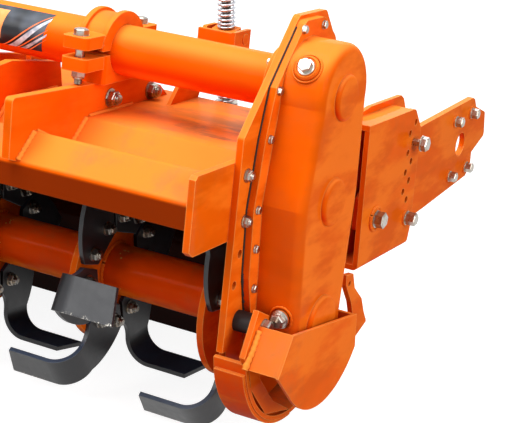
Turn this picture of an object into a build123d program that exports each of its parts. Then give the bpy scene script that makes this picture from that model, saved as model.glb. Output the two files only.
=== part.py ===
from build123d import *
import os
from math import cos, hypot, radians, sin, sqrt

os.makedirs("parts", exist_ok=True)

# A tractor-mounted rotary tiller with a side gear drive, in millimetres.
# While it is modelled, X runs across the machine with the gear case on the +X side, Y runs backwards,
# Z is up, and the rotor turns on the X axis. At the end every piece is set down on the floor, with the
# origin under the middle of the machine.

# --- Driving dimensions: rotor ------------------------------------------------------------------
ROTOR_TUBE_R = 44.5
ROTOR_TUBE_WALL = 8
FLANGE_R = 128
FLANGE_T = 12
FLANGE_PITCH = 254
FLANGE_COUNT = 8
STUB_R = 30                 # shaft at each end of the rotor tube
BLADE_T = 8
BLADE_W = 64                # width of the foot, along the direction of travel
BLADE_REACH = 139           # from the shank's back to the foot's end
BLADE_BEND_R = 40           # inside of the bend between shank and foot
BLADE_RAKE = 22             # degrees that the foot is tilted, leading edge outwards
FOOT_R = 212                # from the rotor axis to the middle of the foot's outer face
BLADE_BOLT_CIRCLE = 98      # radius on which both bolts of a blade sit
BLADE_BOLT_ANGLES = (3, 34)
BLADE_BOLT_R = 6.5
BLADE_PHASE = 156.5         # angle of the first flange's first blade, from straight up, forwards
BLADE_STEP = 9.5            # each flange lags the one before it by this angle

# --- Driving dimensions: frame ------------------------------------------------------------------
SIDE_GAP = 48               # from the end flange to the side plate
SIDE_T = 12
SIDE_REAR = 235
SIDE_TOP = 503
SIDE_TOP_FRONT = -14
SIDE_TOP_REAR = 84
SIDE_KINK = 325             # height where the front and rear edges start to slope inwards
SIDE_BOTTOM_Z = -28         # the straight front edge ends here, at the skid's sole
END_T = 12                  # end plates of the deck, bolted inside the side plates
END_TOP = 286
END_BOTTOM = 157
BEAM_FRONT = -285
DECK_T = 6
DECK_Z = 277                # underside of the deck's level part
DECK_FRONT = -88
DECK_REAR = 210
SEAM = 0.3                  # gap where two rounded or welded pieces lie side by side
RUN_GAP = 1.0               # running clearance of shafts in plates

# --- Driving dimensions: drive ------------------------------------------------------------------
MAIN_Y = -18                # the two main tubes and the shafts inside them
MAIN_Z = 392
MAIN_R = 43
MAIN_WALL = 8
CASE_DEPTH = 88             # from the side plate to the case's outer face
CASE_RIM_T = 14
CASE_EDGE = 16              # rounding between the case's wall and its face
CASE_BOSS = 8
CASE_MID_Z = 212
CASE_TOP = (4, 384)         # middle of the case's round top, in (y, z)
CASE_TOP_R = 86
CASE_LOW_R = 88
CASE_RIM_W = 14             # the bolting rim stands this far outside the case's foot
FILLER_ANGLE = 56           # the filler's place on the round top, forwards from straight up
FILLER_INSET = 40           # from the case's outer face to the middle of the filler
DRAIN_INSET = 27
GEARBOX_W = 250
PTO_R = 17.45

# --- Driving dimensions: skids, hitch, board ------------------------------------------------------
SKID_OFFSET = 38            # spacers between the side plate and the skid's web
SKID_WEB_T = 10
SOLE_R = 168                # inside of the sole, round the rotor axis
SOLE_T = 8
SIDE_FRONT = 3 - SOLE_R     # the side plates stand just inside the sole
SIDE_BOTTOM_R = SOLE_R - 10
GUARD_T = 5
GUARD_CLEAR = 9             # from the case's bosses to its guard
CLAMP_X = 608               # middle of each clamp on its main tube
CLAMP_W = 57
CLAMP_R = 60
CLAMP_RIM = 6               # raised rim at both ends of a clamp
CLAMP_RIM_W = 11
CLAMP_SEAT_Z = 338          # the clamps stand on their welded plates
LUG_REACH = 112             # from the tube's middle to the end of a clamp's lug
LUG_BOLT = 92
BRACKET_X = 617             # outer face of the welded plate that carries a clamp
BRACKET_T = 15
HITCH_X = 412               # middle of each pair of lower hitch ears
HITCH_BORE_R = 14.5
HITCH_GAP = 62
TOP_BORE_R = 12.9
MAST_TOP_Z = 730
MAST_TOP_Y = -330
MAST_GAP = 56               # between the cheeks, for the top link's ball
MAST_T = 12
BOARD_T = 4
BOARD_HINGE_Z = 252
BOARD_HINGE_R = 9
ROD_X = 697                 # each spring rod stands this far from the middle
ROD_R = 8
SPRING_R = 17

rotor_half = ((FLANGE_COUNT - 1) * FLANGE_PITCH + FLANGE_T) / 2
side_in = rotor_half + SIDE_GAP
side_out = side_in + SIDE_T
end_in = side_in - END_T

pieces = {}


def keep(name, solid):
    """Store one sub-part under the name of its node."""
    pieces[name] = solid


def keep_pair(name, solid):
    """Store a piece of the drive side and its mirror image on the idle side."""
    solids = solid if isinstance(solid, list) else [solid]
    keep(name + "_drive", solids)
    keep(name + "_idle", [mirror(one, about=Plane.YZ) for one in solids])


def outline(*points):
    """A flat shape through corner points."""
    return Sketch() + make_face(Polyline(*points, close=True))


def plate(face, x0, x1):
    """A plate square to X, from x0 to x1: the face is drawn in (y, z)."""
    return extrude(Plane.YZ.offset(x0) * face, x1 - x0)


def bar_x(y, z, r, x0, x1):
    """A round bar along X."""
    return extrude(Plane.YZ.offset(x0) * Pos(y, z) * Circle(r), x1 - x0)


def bar_y(x, z, r, y0, y1):
    """A round bar along Y."""
    return extrude(Plane.XZ.offset(-y1) * Pos(x, z) * Circle(r), y1 - y0)


def bar_between(start, end, r):
    """A round bar from one point to another."""
    along = Vector(*end) - Vector(*start)
    return extrude(Plane(origin=start, z_dir=along) * Circle(r), along.length)


def box(x0, x1, y0, y1, z0, z1):
    """A square block between two corners."""
    return Pos((x0 + x1) / 2, (y0 + y1) / 2, (z0 + z1) / 2) * Box(x1 - x0, y1 - y0, z1 - z0)


def polar(r, angle):
    """The (y, z) of a point at radius r, angle degrees forwards from straight up."""
    return (-r * sin(radians(angle)), r * cos(radians(angle)))


def round_corners(face, corners):
    """Round the corners of a face: (y, z, radius) each."""
    for y, z, r in corners:
        face = fillet(face.vertices().sort_by_distance((y, z, 0))[0], r)
    return face


def sheet_sides(line, t):
    """Both sides of a folded sheet of thickness t whose middle follows the (y, z) points of line."""
    sides = ([], [])
    for i, (y, z) in enumerate(line):
        runs = []
        for a, b in ((i - 1, i), (i, i + 1)):
            if a >= 0 and b < len(line):
                dy, dz = line[b][0] - line[a][0], line[b][1] - line[a][1]
                runs.append((dy / hypot(dy, dz), dz / hypot(dy, dz)))
        ny, nz = -sum(run[1] for run in runs), sum(run[0] for run in runs)
        reach = t / 2 / (nz * runs[0][0] - ny * runs[0][1])
        sides[0].append((y + ny * reach, z + nz * reach))
        sides[1].append((y - ny * reach, z - nz * reach))
    return sides


def folded_sheet(line, t, x0, x1, bend_r):
    """A sheet folded along X, with rounded bends, from x0 to x1."""
    left, right = sheet_sides(line, t)
    face = outline(*left, *reversed(right))
    for i in range(1, len(line) - 1):
        middle = ((line[i - 1][0] + line[i + 1][0]) / 2, (line[i - 1][1] + line[i + 1][1]) / 2)
        near, far = sorted((left[i], right[i]), key=lambda p: hypot(p[0] - middle[0], p[1] - middle[1]))
        face = round_corners(face, [(*near, bend_r), (*far, bend_r + t)])
    return plate(face, x0, x1)


# --- Rotor: tube, flanges and bent blades ---------------------------------------------------------
stub_length = SIDE_GAP + SIDE_T + 45
tube = bar_x(0, 0, ROTOR_TUBE_R, -rotor_half, rotor_half)
tube -= bar_x(0, 0, ROTOR_TUBE_R - ROTOR_TUBE_WALL, FLANGE_T * 3 - rotor_half, rotor_half - FLANGE_T * 3)
tube += bar_x(0, 0, STUB_R, rotor_half, rotor_half + stub_length)
tube += bar_x(0, 0, STUB_R, -rotor_half - stub_length, -rotor_half)
keep("rotor_tube", tube)

rake = radians(BLADE_RAKE)
bar_dir = Vector(0, sin(rake), cos(rake))         # out along the shank, towards the foot
lead_dir = Vector(0, -cos(rake), sin(rake))       # towards the leading edge
foot_mid = Vector(0, 0, FOOT_R) + Vector(0, 5, 0)
bend_mid = foot_mid - bar_dir * (BLADE_BEND_R + BLADE_T)
bend_lead = bend_mid + lead_dir * (BLADE_W / 2)
bend_trail = bend_mid - lead_dir * (BLADE_W / 2)
root_in = BLADE_BOLT_CIRCLE - 26
root_out = FLANGE_R - 12
root_lead = BLADE_BOLT_ANGLES[1] + 12
root_trail = BLADE_BOLT_ANGLES[0] - 14
lead_r = (root_out + bend_lead.length) / 2 + 8    # the shank's edges sweep in from the root to the foot
trail_r = (root_out + bend_trail.length) / 2


def blade():
    """One blade, its shank's seat at x=0, its foot towards +X, the foot straight above the axis."""
    edge = Polyline(polar(root_out, root_trail), polar(root_in, root_trail + 2),
                    polar(root_in, root_lead - 2), polar(root_out, root_lead))
    edge += ThreePointArc(polar(root_out, root_lead), polar(lead_r, root_lead - 20),
                          (bend_lead.Y, bend_lead.Z))
    edge += Line((bend_lead.Y, bend_lead.Z), (bend_trail.Y, bend_trail.Z))
    edge += ThreePointArc((bend_trail.Y, bend_trail.Z), polar(trail_r, root_trail + 5),
                          polar(root_out, root_trail))
    solid = plate(Sketch() + make_face(edge), 0, BLADE_T)
    section = Plane(origin=tuple(bend_mid), x_dir=(1, 0, 0), z_dir=tuple(bar_dir))
    bend = revolve(section * Pos(BLADE_T / 2, 0) * Rectangle(BLADE_T, BLADE_W),
                   Axis((BLADE_T + BLADE_BEND_R, bend_mid.Y, bend_mid.Z), tuple(-lead_dir)), 90)
    foot_plane = Plane(origin=tuple(bend_mid + bar_dir * BLADE_BEND_R), x_dir=(1, 0, 0), z_dir=tuple(bar_dir))
    half = BLADE_W / 2
    start = BLADE_T + BLADE_BEND_R
    foot = extrude(foot_plane * outline((start, -half), (BLADE_REACH, -half), (BLADE_REACH - 12, half),
                                        (start, half)), BLADE_T)
    solid = solid + bend + foot
    for angle in BLADE_BOLT_ANGLES:
        solid -= bar_x(*polar(BLADE_BOLT_CIRCLE, angle), BLADE_BOLT_R, 0, BLADE_T)
    return solid


base_blade = blade()
mirrored_blade = mirror(base_blade, about=Plane.YZ)
flange_x = [rotor_half - FLANGE_T - i * FLANGE_PITCH for i in range(FLANGE_COUNT)]
flanges = []
for i, x in enumerate(flange_x):
    # All blades are bolted to the flange's +X face. Inner flanges carry six, bent to either side by turns,
    # and the end flanges carry three, bent inwards: those bent to -X pass over the flange's rim.
    blades = []
    for k in range(6):
        points_in = k % 2 == 0                    # the foot points to -X
        if (i == 0 and not points_in) or (i == FLANGE_COUNT - 1 and points_in):
            continue
        angle = BLADE_PHASE - i * BLADE_STEP + 60 * k
        turn = Rot(angle, 0, 0)
        seat = x + FLANGE_T + (BLADE_T if points_in else 0)
        blades.append((Pos(seat, 0, 0) * turn * (mirrored_blade if points_in else base_blade), angle))
    ring = bar_x(0, 0, FLANGE_R, x, x + FLANGE_T) - bar_x(0, 0, ROTOR_TUBE_R, x, x + FLANGE_T)
    for one, angle in blades:
        for bolt in BLADE_BOLT_ANGLES:
            ring -= bar_x(*polar(BLADE_BOLT_CIRCLE, angle + bolt), BLADE_BOLT_R, x, x + FLANGE_T)
    flanges.append(ring)
    keep(f"blades_{i + 1}", [one for one, angle in blades])
keep("rotor_flanges", flanges)

# --- Side plates and the deck between them --------------------------------------------------------
bottom_y = sqrt(SIDE_BOTTOM_R ** 2 - SIDE_BOTTOM_Z ** 2)
edge = Polyline((SIDE_FRONT, SIDE_BOTTOM_Z), (SIDE_FRONT, SIDE_KINK), (SIDE_TOP_FRONT, SIDE_TOP),
                (SIDE_TOP_REAR, SIDE_TOP), (SIDE_REAR, SIDE_KINK), (SIDE_REAR, 40), (bottom_y, SIDE_BOTTOM_Z))
edge += ThreePointArc((bottom_y, SIDE_BOTTOM_Z), (0, -SIDE_BOTTOM_R), (-bottom_y, SIDE_BOTTOM_Z))
edge += Line((-bottom_y, SIDE_BOTTOM_Z), (SIDE_FRONT, SIDE_BOTTOM_Z))
side_face = Sketch() + make_face(edge)
side_face = round_corners(side_face, [(SIDE_TOP_FRONT, SIDE_TOP, 14), (SIDE_TOP_REAR, SIDE_TOP, 14),
                                      (SIDE_FRONT, SIDE_KINK, 8), (SIDE_REAR, SIDE_KINK, 8)])
SIDE_HOLES = ((-140, 134), (-149, 83))            # spare holes for mounting the skid higher
skid_bolt_y = -(CASE_LOW_R + CASE_RIM_W + 23)
skid_bolt_z = 18
side = plate(side_face, side_in, side_out)
for y, z in SIDE_HOLES:
    side -= bar_x(y, z, 7, side_in, side_out)
side -= bar_x(0, 0, STUB_R + RUN_GAP, side_in, side_out)
side -= bar_x(MAIN_Y, MAIN_Z, MAIN_R - MAIN_WALL, side_in, side_out)
keep_pair("side_plate", side)

end_face = outline((BEAM_FRONT, END_BOTTOM + 8), (BEAM_FRONT, END_TOP - 6), (BEAM_FRONT + 6, END_TOP),
                   (DECK_REAR, END_TOP), (DECK_REAR, END_TOP - 70), (60, END_BOTTOM),
                   (BEAM_FRONT + 12, END_BOTTOM))
deck_end = plate(end_face, end_in, side_in)
keep("deck_ends", [deck_end, mirror(deck_end, about=Plane.YZ)])

beam_fold = (BEAM_FRONT + 3, 240)
beam_top = (BEAM_FRONT + 47, 281)
deck_line = [(BEAM_FRONT + 3, 199), beam_fold, beam_top, (DECK_FRONT - 48, 236),
             (DECK_FRONT, DECK_Z + DECK_T / 2), (DECK_REAR - 2, DECK_Z + DECK_T / 2),
             (DECK_REAR - 2, DECK_Z - 38)]
deck = folded_sheet(deck_line, DECK_T, -end_in, end_in, 4)
STIFFENER = (30, 90, 30, 5)                       # front, rear, depth and sheet of the channel under the deck
y0, y1, depth, t = STIFFENER
channel = outline((y0, DECK_Z), (y0, DECK_Z - depth), (y1, DECK_Z - depth), (y1, DECK_Z), (y1 - t, DECK_Z),
                  (y1 - t, DECK_Z - depth + t), (y0 + t, DECK_Z - depth + t), (y0 + t, DECK_Z))
keep("deck", deck + plate(channel, -end_in, end_in))

# --- Main tubes, gearbox and input shaft ----------------------------------------------------------
gearbox_half = GEARBOX_W / 2
tube = bar_x(MAIN_Y, MAIN_Z, MAIN_R, gearbox_half + 16, side_in)
tube += bar_x(MAIN_Y, MAIN_Z, MAIN_R + 34, gearbox_half, gearbox_half + 16)
tube += bar_x(MAIN_Y, MAIN_Z, MAIN_R + 18, side_in - 10, side_in)
tube -= bar_x(MAIN_Y, MAIN_Z, MAIN_R - MAIN_WALL, gearbox_half, side_in)
keep_pair("main_tube", tube)

deck_top = DECK_Z + DECK_T
gearbox_bottom = deck_top + 14
gearbox_top = MAIN_Z + 108
body = box(20 - gearbox_half, gearbox_half - 20, MAIN_Y - 115, MAIN_Y + 130, gearbox_bottom, gearbox_top)
body = fillet(body.edges(), 26)
flange = bar_x(MAIN_Y, MAIN_Z, MAIN_R + 34, -gearbox_half, gearbox_half)
nose = bar_y(0, MAIN_Z, 74, MAIN_Y - 175, MAIN_Y - 90) + bar_y(0, MAIN_Z, 58, MAIN_Y - 196, MAIN_Y - 170)
rear_cover = box(-84, 84, MAIN_Y + 120, MAIN_Y + 176, MAIN_Z - 88, MAIN_Z + 84)
rear_cover = fillet(rear_cover.edges(), 16)
feet = box(-84, 84, DECK_FRONT + 6, MAIN_Y + 104, deck_top, gearbox_bottom + 4)
gearbox = body + flange + nose + rear_cover + feet
gearbox -= bar_y(0, MAIN_Z, 26, MAIN_Y - 197, MAIN_Y - 120)
keep("gearbox", gearbox)

pto_tip = MAIN_Y - 290
shaft = bar_y(0, MAIN_Z, PTO_R, pto_tip, MAIN_Y - 196)
shaft += bar_y(0, MAIN_Z, 25, MAIN_Y - 200, MAIN_Y - 121)
keep("input_shaft", shaft)

# --- Gear case on the drive side, bearing housing on the idle side --------------------------------
case_in = side_out
case_out = side_out + CASE_DEPTH


top_y, top_z = CASE_TOP
front = [(-CASE_LOW_R, 4), (-108, CASE_MID_Z), (top_y - CASE_TOP_R, top_z - 12)]
rear = [(top_y + CASE_TOP_R, top_z - 12), (100, CASE_MID_Z), (CASE_LOW_R, 4)]
edge = Polyline(*front)
edge += ThreePointArc(front[-1], (top_y, top_z + CASE_TOP_R), rear[0])
edge += Polyline(*rear)
edge += ThreePointArc(rear[-1], (0, -CASE_LOW_R), front[0])
case = plate(Sketch() + make_face(edge), case_in, case_out)
case = fillet(case.faces().sort_by(Axis.X)[-1].edges(), CASE_EDGE)

# The bolting rim follows the case's wall and, at the top, the side plate's slope.
low_r = CASE_LOW_R + CASE_RIM_W
rim = Polyline((-low_r, 4), (-126, 90), (-134, 206), (-118, 318), (-98, 399), (-16, 497), (52, 497),
               (104, 456), (114, 372), (116, CASE_MID_Z), (low_r, 4))
rim += ThreePointArc((low_r, 4), (0, -low_r), (-low_r, 4))
rim = round_corners(Sketch() + make_face(rim), [(-16, 497, 16), (52, 497, 20), (104, 456, 30)])
case += plate(rim, case_in, case_in + CASE_RIM_T)
for y, z, r in ((top_y - 6, top_z, 38), (-6, CASE_MID_Z, 40), (0, 0, 50)):
    boss = bar_x(y, z, r, case_out, case_out + CASE_BOSS)
    case += fillet(boss.faces().sort_by(Axis.X)[-1].edges(), 6)


def on_wall(x, foot, angle, depth):
    """A point at a depth outside the case's wall, which faces an angle forwards from straight up."""
    out = polar(depth, angle)
    return (x, foot[0] + out[0], foot[1] + out[1])


filler_x = case_out - FILLER_INSET
filler_foot = (top_y + polar(CASE_TOP_R, FILLER_ANGLE)[0], top_z + polar(CASE_TOP_R, FILLER_ANGLE)[1])
drain_x = case_out - DRAIN_INSET
drain_foot = (-CASE_LOW_R - 2, 28)
DRAIN_ANGLE = 95.5
for x, foot, angle, r in ((filler_x, filler_foot, FILLER_ANGLE, 21), (drain_x, drain_foot, DRAIN_ANGLE, 15)):
    boss = bar_between(on_wall(x, foot, angle, -10), on_wall(x, foot, angle, 6), r)
    case += fillet(boss.edges(), 2)
case -= bar_x(0, 0, STUB_R + RUN_GAP + 4, case_in, case_in + 46)
keep("gear_case", case)

housing = bar_x(0, 0, 74, side_out, side_out + 14) + bar_x(0, 0, 56, side_out + 14, side_out + 52)
housing = fillet(housing.faces().sort_by(Axis.X)[-1].edges(), 6)
housing -= bar_x(0, 0, STUB_R + RUN_GAP, side_out, side_out + 46)
cover = bar_x(MAIN_Y, MAIN_Z, 62, side_out, side_out + 10)
keep("bearing_housing_idle", mirror(housing, about=Plane.YZ))
keep("shaft_cover_idle", mirror(cover, about=Plane.YZ))

# --- Skids with their webs, spacers and the guard round the foot of the case ----------------------
web_in = side_out + SKID_OFFSET
web_out = web_in + SKID_WEB_T
sole_out = SOLE_R + SOLE_T
REAR_SLEEVE = (204, 8)            # small hole in the strap that holds up the skid's tail
WEAR_T = 6


def ring_part(r_in, r_out, a0, a1):
    """A band round the rotor axis between two angles forwards from straight up."""
    edge = ThreePointArc(polar(r_out, a0), polar(r_out, (a0 + a1) / 2), polar(r_out, a1))
    edge += Line(polar(r_out, a1), polar(r_in, a1))
    edge += ThreePointArc(polar(r_in, a1), polar(r_in, (a0 + a1) / 2), polar(r_in, a0))
    edge += Line(polar(r_in, a0), polar(r_out, a0))
    return Sketch() + make_face(edge)


sole = plate(ring_part(SOLE_R, sole_out, 101, 190), side_in, web_out)
tail_start = polar(SOLE_R + SOLE_T / 2, 190)
tail = [tail_start, (tail_start[0] + 130, tail_start[1] + 23), (300, -86)]
sole += folded_sheet(tail, SOLE_T, side_in, web_out, 6)
web_face = outline((skid_bolt_y - 22, skid_bolt_z + 34), (skid_bolt_y + 20, skid_bolt_z + 14),
                   (skid_bolt_y + 20, skid_bolt_z - 18), (-120, -70), (-60, -130), polar(SOLE_R, 183),
                   polar(SOLE_R, 150), polar(SOLE_R, 120), polar(SOLE_R, 104), (-181, -20))
web = plate(web_face, web_in, web_out)
foot_y, foot_z = (tail[1][0] * 0.3 + tail[2][0] * 0.7, tail[1][1] * 0.3 + tail[2][1] * 0.7)
sleeve_y, sleeve_z = REAR_SLEEVE
strap = outline((sleeve_y - 18, sleeve_z + 20), (sleeve_y + 12, sleeve_z + 16),
                (sleeve_y + 26, sleeve_z - 14),
                (sleeve_y + 64, sleeve_z - 44), (sleeve_y + 80, sleeve_z - 72), tail[2], (foot_y, foot_z),
                (sleeve_y + 18, sleeve_z - 40), (sleeve_y - 14, sleeve_z))
web += plate(strap, web_in, web_out)
for y, z, r in ((skid_bolt_y, skid_bolt_z, 8.5), (sleeve_y, sleeve_z, 5)):
    web -= bar_x(y, z, r, web_in, web_out)
wear = plate(ring_part(sole_out, sole_out + WEAR_T, 107, 186), side_in + 3, web_out - 3)
spacer = bar_x(skid_bolt_y, skid_bolt_z, 17.5, side_out, web_in)
keep_pair("skid", sole + web + wear)
keep("skid_spacers", [spacer, mirror(spacer, about=Plane.YZ)])

guard_out = case_out + CASE_BOSS + GUARD_CLEAR + GUARD_T
guard_front, guard_rear = -CASE_LOW_R - 54, CASE_LOW_R + 16
tail_corner = (guard_front - 38, -38)
rear_corner = (guard_rear + 9, -66)
lip = (guard_front + 20, -CASE_LOW_R - 4)         # where the round bottom ends in front
edge = Polyline(tail_corner, (guard_front, 25), (guard_rear, -5), rear_corner)
edge += ThreePointArc(rear_corner, (8, -CASE_LOW_R - 45), lip)
edge += Line(lip, tail_corner)
guard = plate(Sketch() + make_face(edge), guard_out - GUARD_T, guard_out)
half = GUARD_T / 2
wall_in, wall_out = web_out, guard_out - GUARD_T
front_wall = folded_sheet([(guard_front + half, 24), (tail_corner[0] + half, -38)], GUARD_T,
                          wall_in, wall_out, 1)
rear_wall = folded_sheet([(guard_rear - half, -6), (rear_corner[0] - half, -64)], GUARD_T,
                         wall_in, wall_out, 1)
keep("case_guard", guard + front_wall + rear_wall)

# --- Clamps that hold the main tubes, and their welded plates -------------------------------------
deck_skin = sheet_sides(deck_line, DECK_T + 2 * SEAM)[0]
over_deck = [deck_skin[4], deck_skin[3], deck_skin[2], deck_skin[1]]
bracket_in = BRACKET_X - BRACKET_T
bracket_face = outline((-305, 248), (-305, 347), (MAIN_Y - 66, CLAMP_SEAT_Z), (MAIN_Y + 62, CLAMP_SEAT_Z),
                       (146, 304), (172, deck_top + SEAM), *over_deck)
bracket_face = round_corners(bracket_face, [(-305, 347, 9), (*deck_skin[3], 5)])
keep_pair("clamp_plate", plate(bracket_face, bracket_in, BRACKET_X))

clamp_lo, clamp_hi = CLAMP_X - CLAMP_W / 2, CLAMP_X + CLAMP_W / 2
split = 4


def clamp_lug(sign, z0, z1):
    """A bolt lug of a clamp, in front (-1) or behind (1), with rounded corners."""
    y0, y1 = sorted((MAIN_Y + sign * 40, MAIN_Y + sign * LUG_REACH))
    lug = box(clamp_lo + 3, clamp_hi - 3, y0, y1, z0, z1)
    corners = lug.edges().filter_by(Axis.Z).sort_by(Axis.Y)
    lug = fillet(corners[:2] if sign < 0 else corners[2:], 9)
    return lug - Pos(CLAMP_X, MAIN_Y + sign * LUG_BOLT, MAIN_Z) * Cylinder(9, 80)


cap = bar_x(MAIN_Y, MAIN_Z, CLAMP_R, clamp_lo, clamp_hi)
for x0 in (clamp_lo, clamp_hi - CLAMP_RIM_W):
    rim = bar_x(MAIN_Y, MAIN_Z, CLAMP_R + CLAMP_RIM, x0, x0 + CLAMP_RIM_W)
    cap += fillet(rim.edges(), 2)
cap -= box(clamp_lo, clamp_hi, MAIN_Y - 90, MAIN_Y + 90, MAIN_Z - 90, MAIN_Z + split)
saddle = box(clamp_lo, clamp_hi, MAIN_Y - 58, MAIN_Y + 58, CLAMP_SEAT_Z, MAIN_Z - split)
saddle = fillet(saddle.edges().filter_by(Axis.Z), 6)
for sign in (-1, 1):
    cap += clamp_lug(sign, MAIN_Z + split + 6, MAIN_Z + 31)
    saddle += clamp_lug(sign, MAIN_Z - 27, MAIN_Z - split - 1)
leg = box(clamp_lo, bracket_in, -70, 140, deck_top, CLAMP_SEAT_Z + 6)
leg = fillet(leg.edges().filter_by(Axis.X).group_by(Axis.Z)[-1], 10)
bore = bar_x(MAIN_Y, MAIN_Z, MAIN_R + SEAM, clamp_lo, clamp_hi)
cap -= bore
keep("clamp_caps", [cap, mirror(cap, about=Plane.YZ)])
keep_pair("clamp_base", saddle + leg - bore)

# --- Lower hitch ears, bored for the tractor's pins -----------------------------------------------
PIN_Y = -372
PIN_Z = 262
hitch_back = beam_fold[0] - DECK_T / 2 - SEAM
ear = outline((PIN_Y - 34, PIN_Z - 34), (PIN_Y - 34, PIN_Z + 34), (PIN_Y + 20, PIN_Z + 44), (hitch_back, 330),
              (DECK_FRONT, 350), (60, 330), (70, deck_top + SEAM), *over_deck, (deck_skin[0][0], 203),
              (PIN_Y + 20, PIN_Z - 44))
ear = round_corners(ear, [(*deck_skin[3], 5), (PIN_Y - 34, PIN_Z - 34, 16), (PIN_Y - 34, PIN_Z + 34, 16)])
ear = plate(ear, 0, 14) - bar_x(PIN_Y, PIN_Z, HITCH_BORE_R, 0, 14)
inner_ear = HITCH_X - HITCH_GAP / 2 - 14
outer_ear = HITCH_X + HITCH_GAP / 2
keep_pair("hitch_ears", [Pos(inner_ear, 0, 0) * ear, Pos(outer_ear, 0, 0) * ear])
# --- Mast, bored for the top link's pin, and its braces to the back of the deck -------------------
cheek_in = MAST_GAP / 2
cheek_out = cheek_in + MAST_T
base_top = gearbox_top + MAST_T
mast_face = outline((MAIN_Y - 88, base_top), (MAST_TOP_Y - 32, MAST_TOP_Z - 26),
                    (MAST_TOP_Y - 32, MAST_TOP_Z + 24), (MAST_TOP_Y + 6, MAST_TOP_Z + 40),
                    (-130, MAIN_Z + 262), (40, MAIN_Z + 190), (84, base_top))
mast_face = round_corners(mast_face, [(MAST_TOP_Y - 32, MAST_TOP_Z - 26, 14),
                                      (MAST_TOP_Y - 32, MAST_TOP_Z + 24, 14),
                                      (MAST_TOP_Y + 6, MAST_TOP_Z + 40, 14)])
cheek = plate(mast_face, cheek_in, cheek_out) - bar_x(MAST_TOP_Y, MAST_TOP_Z, TOP_BORE_R, cheek_in, cheek_out)
base = box(-78, 78, MAIN_Y - 88, MAIN_Y + 104, gearbox_top, base_top)
keep("mast", base + cheek + mirror(cheek, about=Plane.YZ))

brace_top = (cheek_out + 13, -24, 590)
brace_foot = (330, 168, deck_top + 24)
brace = bar_between(brace_top, brace_foot, 13)
brace += bar_x(brace_top[1], brace_top[2], 22, cheek_out, cheek_out + 20)
foot_x, foot_y = brace_foot[:2]
brace += box(foot_x - 26, foot_x + 26, foot_y - 34, foot_y + 34, deck_top, deck_top + 12)
brace += box(foot_x - 7, foot_x + 7, foot_y - 28, foot_y + 28, deck_top, deck_top + 44)
keep("mast_braces", [brace, mirror(brace, about=Plane.YZ)])

# --- Trailing board, hinged along the back of the deck --------------------------------------------
tip = foot_mid + lead_dir * (BLADE_W / 2)
tip_r = hypot(tip.Y, tip.Z)
hinge_y = DECK_REAR + 15
board_line = [(hinge_y + 12, BOARD_HINGE_Z - 4), (254, 100), (264, -20), (298, -130), (346, -tip_r + 0.6)]
board_half = end_in - 8
board = folded_sheet(board_line, BOARD_T, -board_half, board_half, 60)
rod = bar_x(hinge_y, BOARD_HINGE_Z, BOARD_HINGE_R, -board_half, board_half)
LUG_X = (-860, -430, 0, 430, 860)                 # hinge lugs on the deck
for x in LUG_X:
    lug = plate(outline((DECK_REAR + 1, BOARD_HINGE_Z - 12), (DECK_REAR + 1, BOARD_HINGE_Z + 12),
                        (hinge_y, BOARD_HINGE_Z + 14), (hinge_y + 14, BOARD_HINGE_Z),
                        (hinge_y, BOARD_HINGE_Z - 14)), x - 6, x + 6)
    rod += lug
    board -= box(x - 12, x + 12, hinge_y - 30, hinge_y + 40, BOARD_HINGE_Z - 40, BOARD_HINGE_Z + 40)
    knuckle_x = x + (70 if x < 0 else -70)
    for kx in ([knuckle_x] if x else [-70, 70]):
        knuckle = bar_x(hinge_y, BOARD_HINGE_Z, BOARD_HINGE_R + 5, kx - 25, kx + 25)
        board += knuckle - bar_x(hinge_y, BOARD_HINGE_Z, BOARD_HINGE_R + SEAM, kx - 25, kx + 25)
        board -= bar_x(hinge_y, BOARD_HINGE_Z, BOARD_HINGE_R + SEAM, kx - 25, kx + 25)
keep("board_hinge_rod", rod)
keep("trailing_board", board)

# --- Spring rods: each stands on the board and slides through a trunnion on the frame -------------
clevis_yz = (292, 60)
trunnion_yz = (228, 398)
rod_dir = Vector(0, trunnion_yz[0] - clevis_yz[0], trunnion_yz[1] - clevis_yz[1])
rod_length = rod_dir.length
TRUNNION = (23, 16, 15)                           # half width, half depth and half height
UPPER_SPRING = 78
LOWER_SPRING = 112
EAR_GAP = 60
EAR_T = 8


def on_rod(solid):
    """Set a solid drawn along Z, from the eye's centre, on the drive side's rod."""
    return Plane(origin=(ROD_X, *clevis_yz), x_dir=(1, 0, 0), z_dir=tuple(rod_dir)) * solid


def ring_z(r_out, r_in, z0, z1):
    """A round sleeve along Z."""
    ring = Pos(0, 0, (z0 + z1) / 2) * Cylinder(r_out, z1 - z0)
    return ring - Pos(0, 0, (z0 + z1) / 2) * Cylinder(r_in, z1 - z0) if r_in else ring


seat_up = rod_length + TRUNNION[2]
seat_down = rod_length - TRUNNION[2]
eye = Rot(0, 90, 0) * (Cylinder(17, 20) - Cylinder(8 + SEAM, 20))
rod = eye + ring_z(ROD_R, 0, 14, seat_up + UPPER_SPRING + 40)
rod += ring_z(21, 0, seat_down - LOWER_SPRING - 8, seat_down - LOWER_SPRING)
rod += ring_z(18, 0, seat_up + UPPER_SPRING, seat_up + UPPER_SPRING + 4)
keep_pair("spring_rod", on_rod(rod))
block = Pos(0, 0, rod_length) * Box(2 * TRUNNION[0], 2 * TRUNNION[1], 2 * TRUNNION[2])
block = fillet(block.edges().filter_by(Axis.Z), 5)
block += Pos(0, 0, rod_length) * Rot(0, 90, 0) * Cylinder(10, EAR_GAP + 2 * EAR_T + 4)
block -= ring_z(ROD_R + 3, 0, 0, rod_length * 2)
trunnion = on_rod(block)
keep("trunnions", [trunnion, mirror(trunnion, about=Plane.YZ)])
spring = on_rod(ring_z(SPRING_R, ROD_R + 3, seat_up, seat_up + UPPER_SPRING))
keep("upper_springs", [spring, mirror(spring, about=Plane.YZ)])
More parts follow.
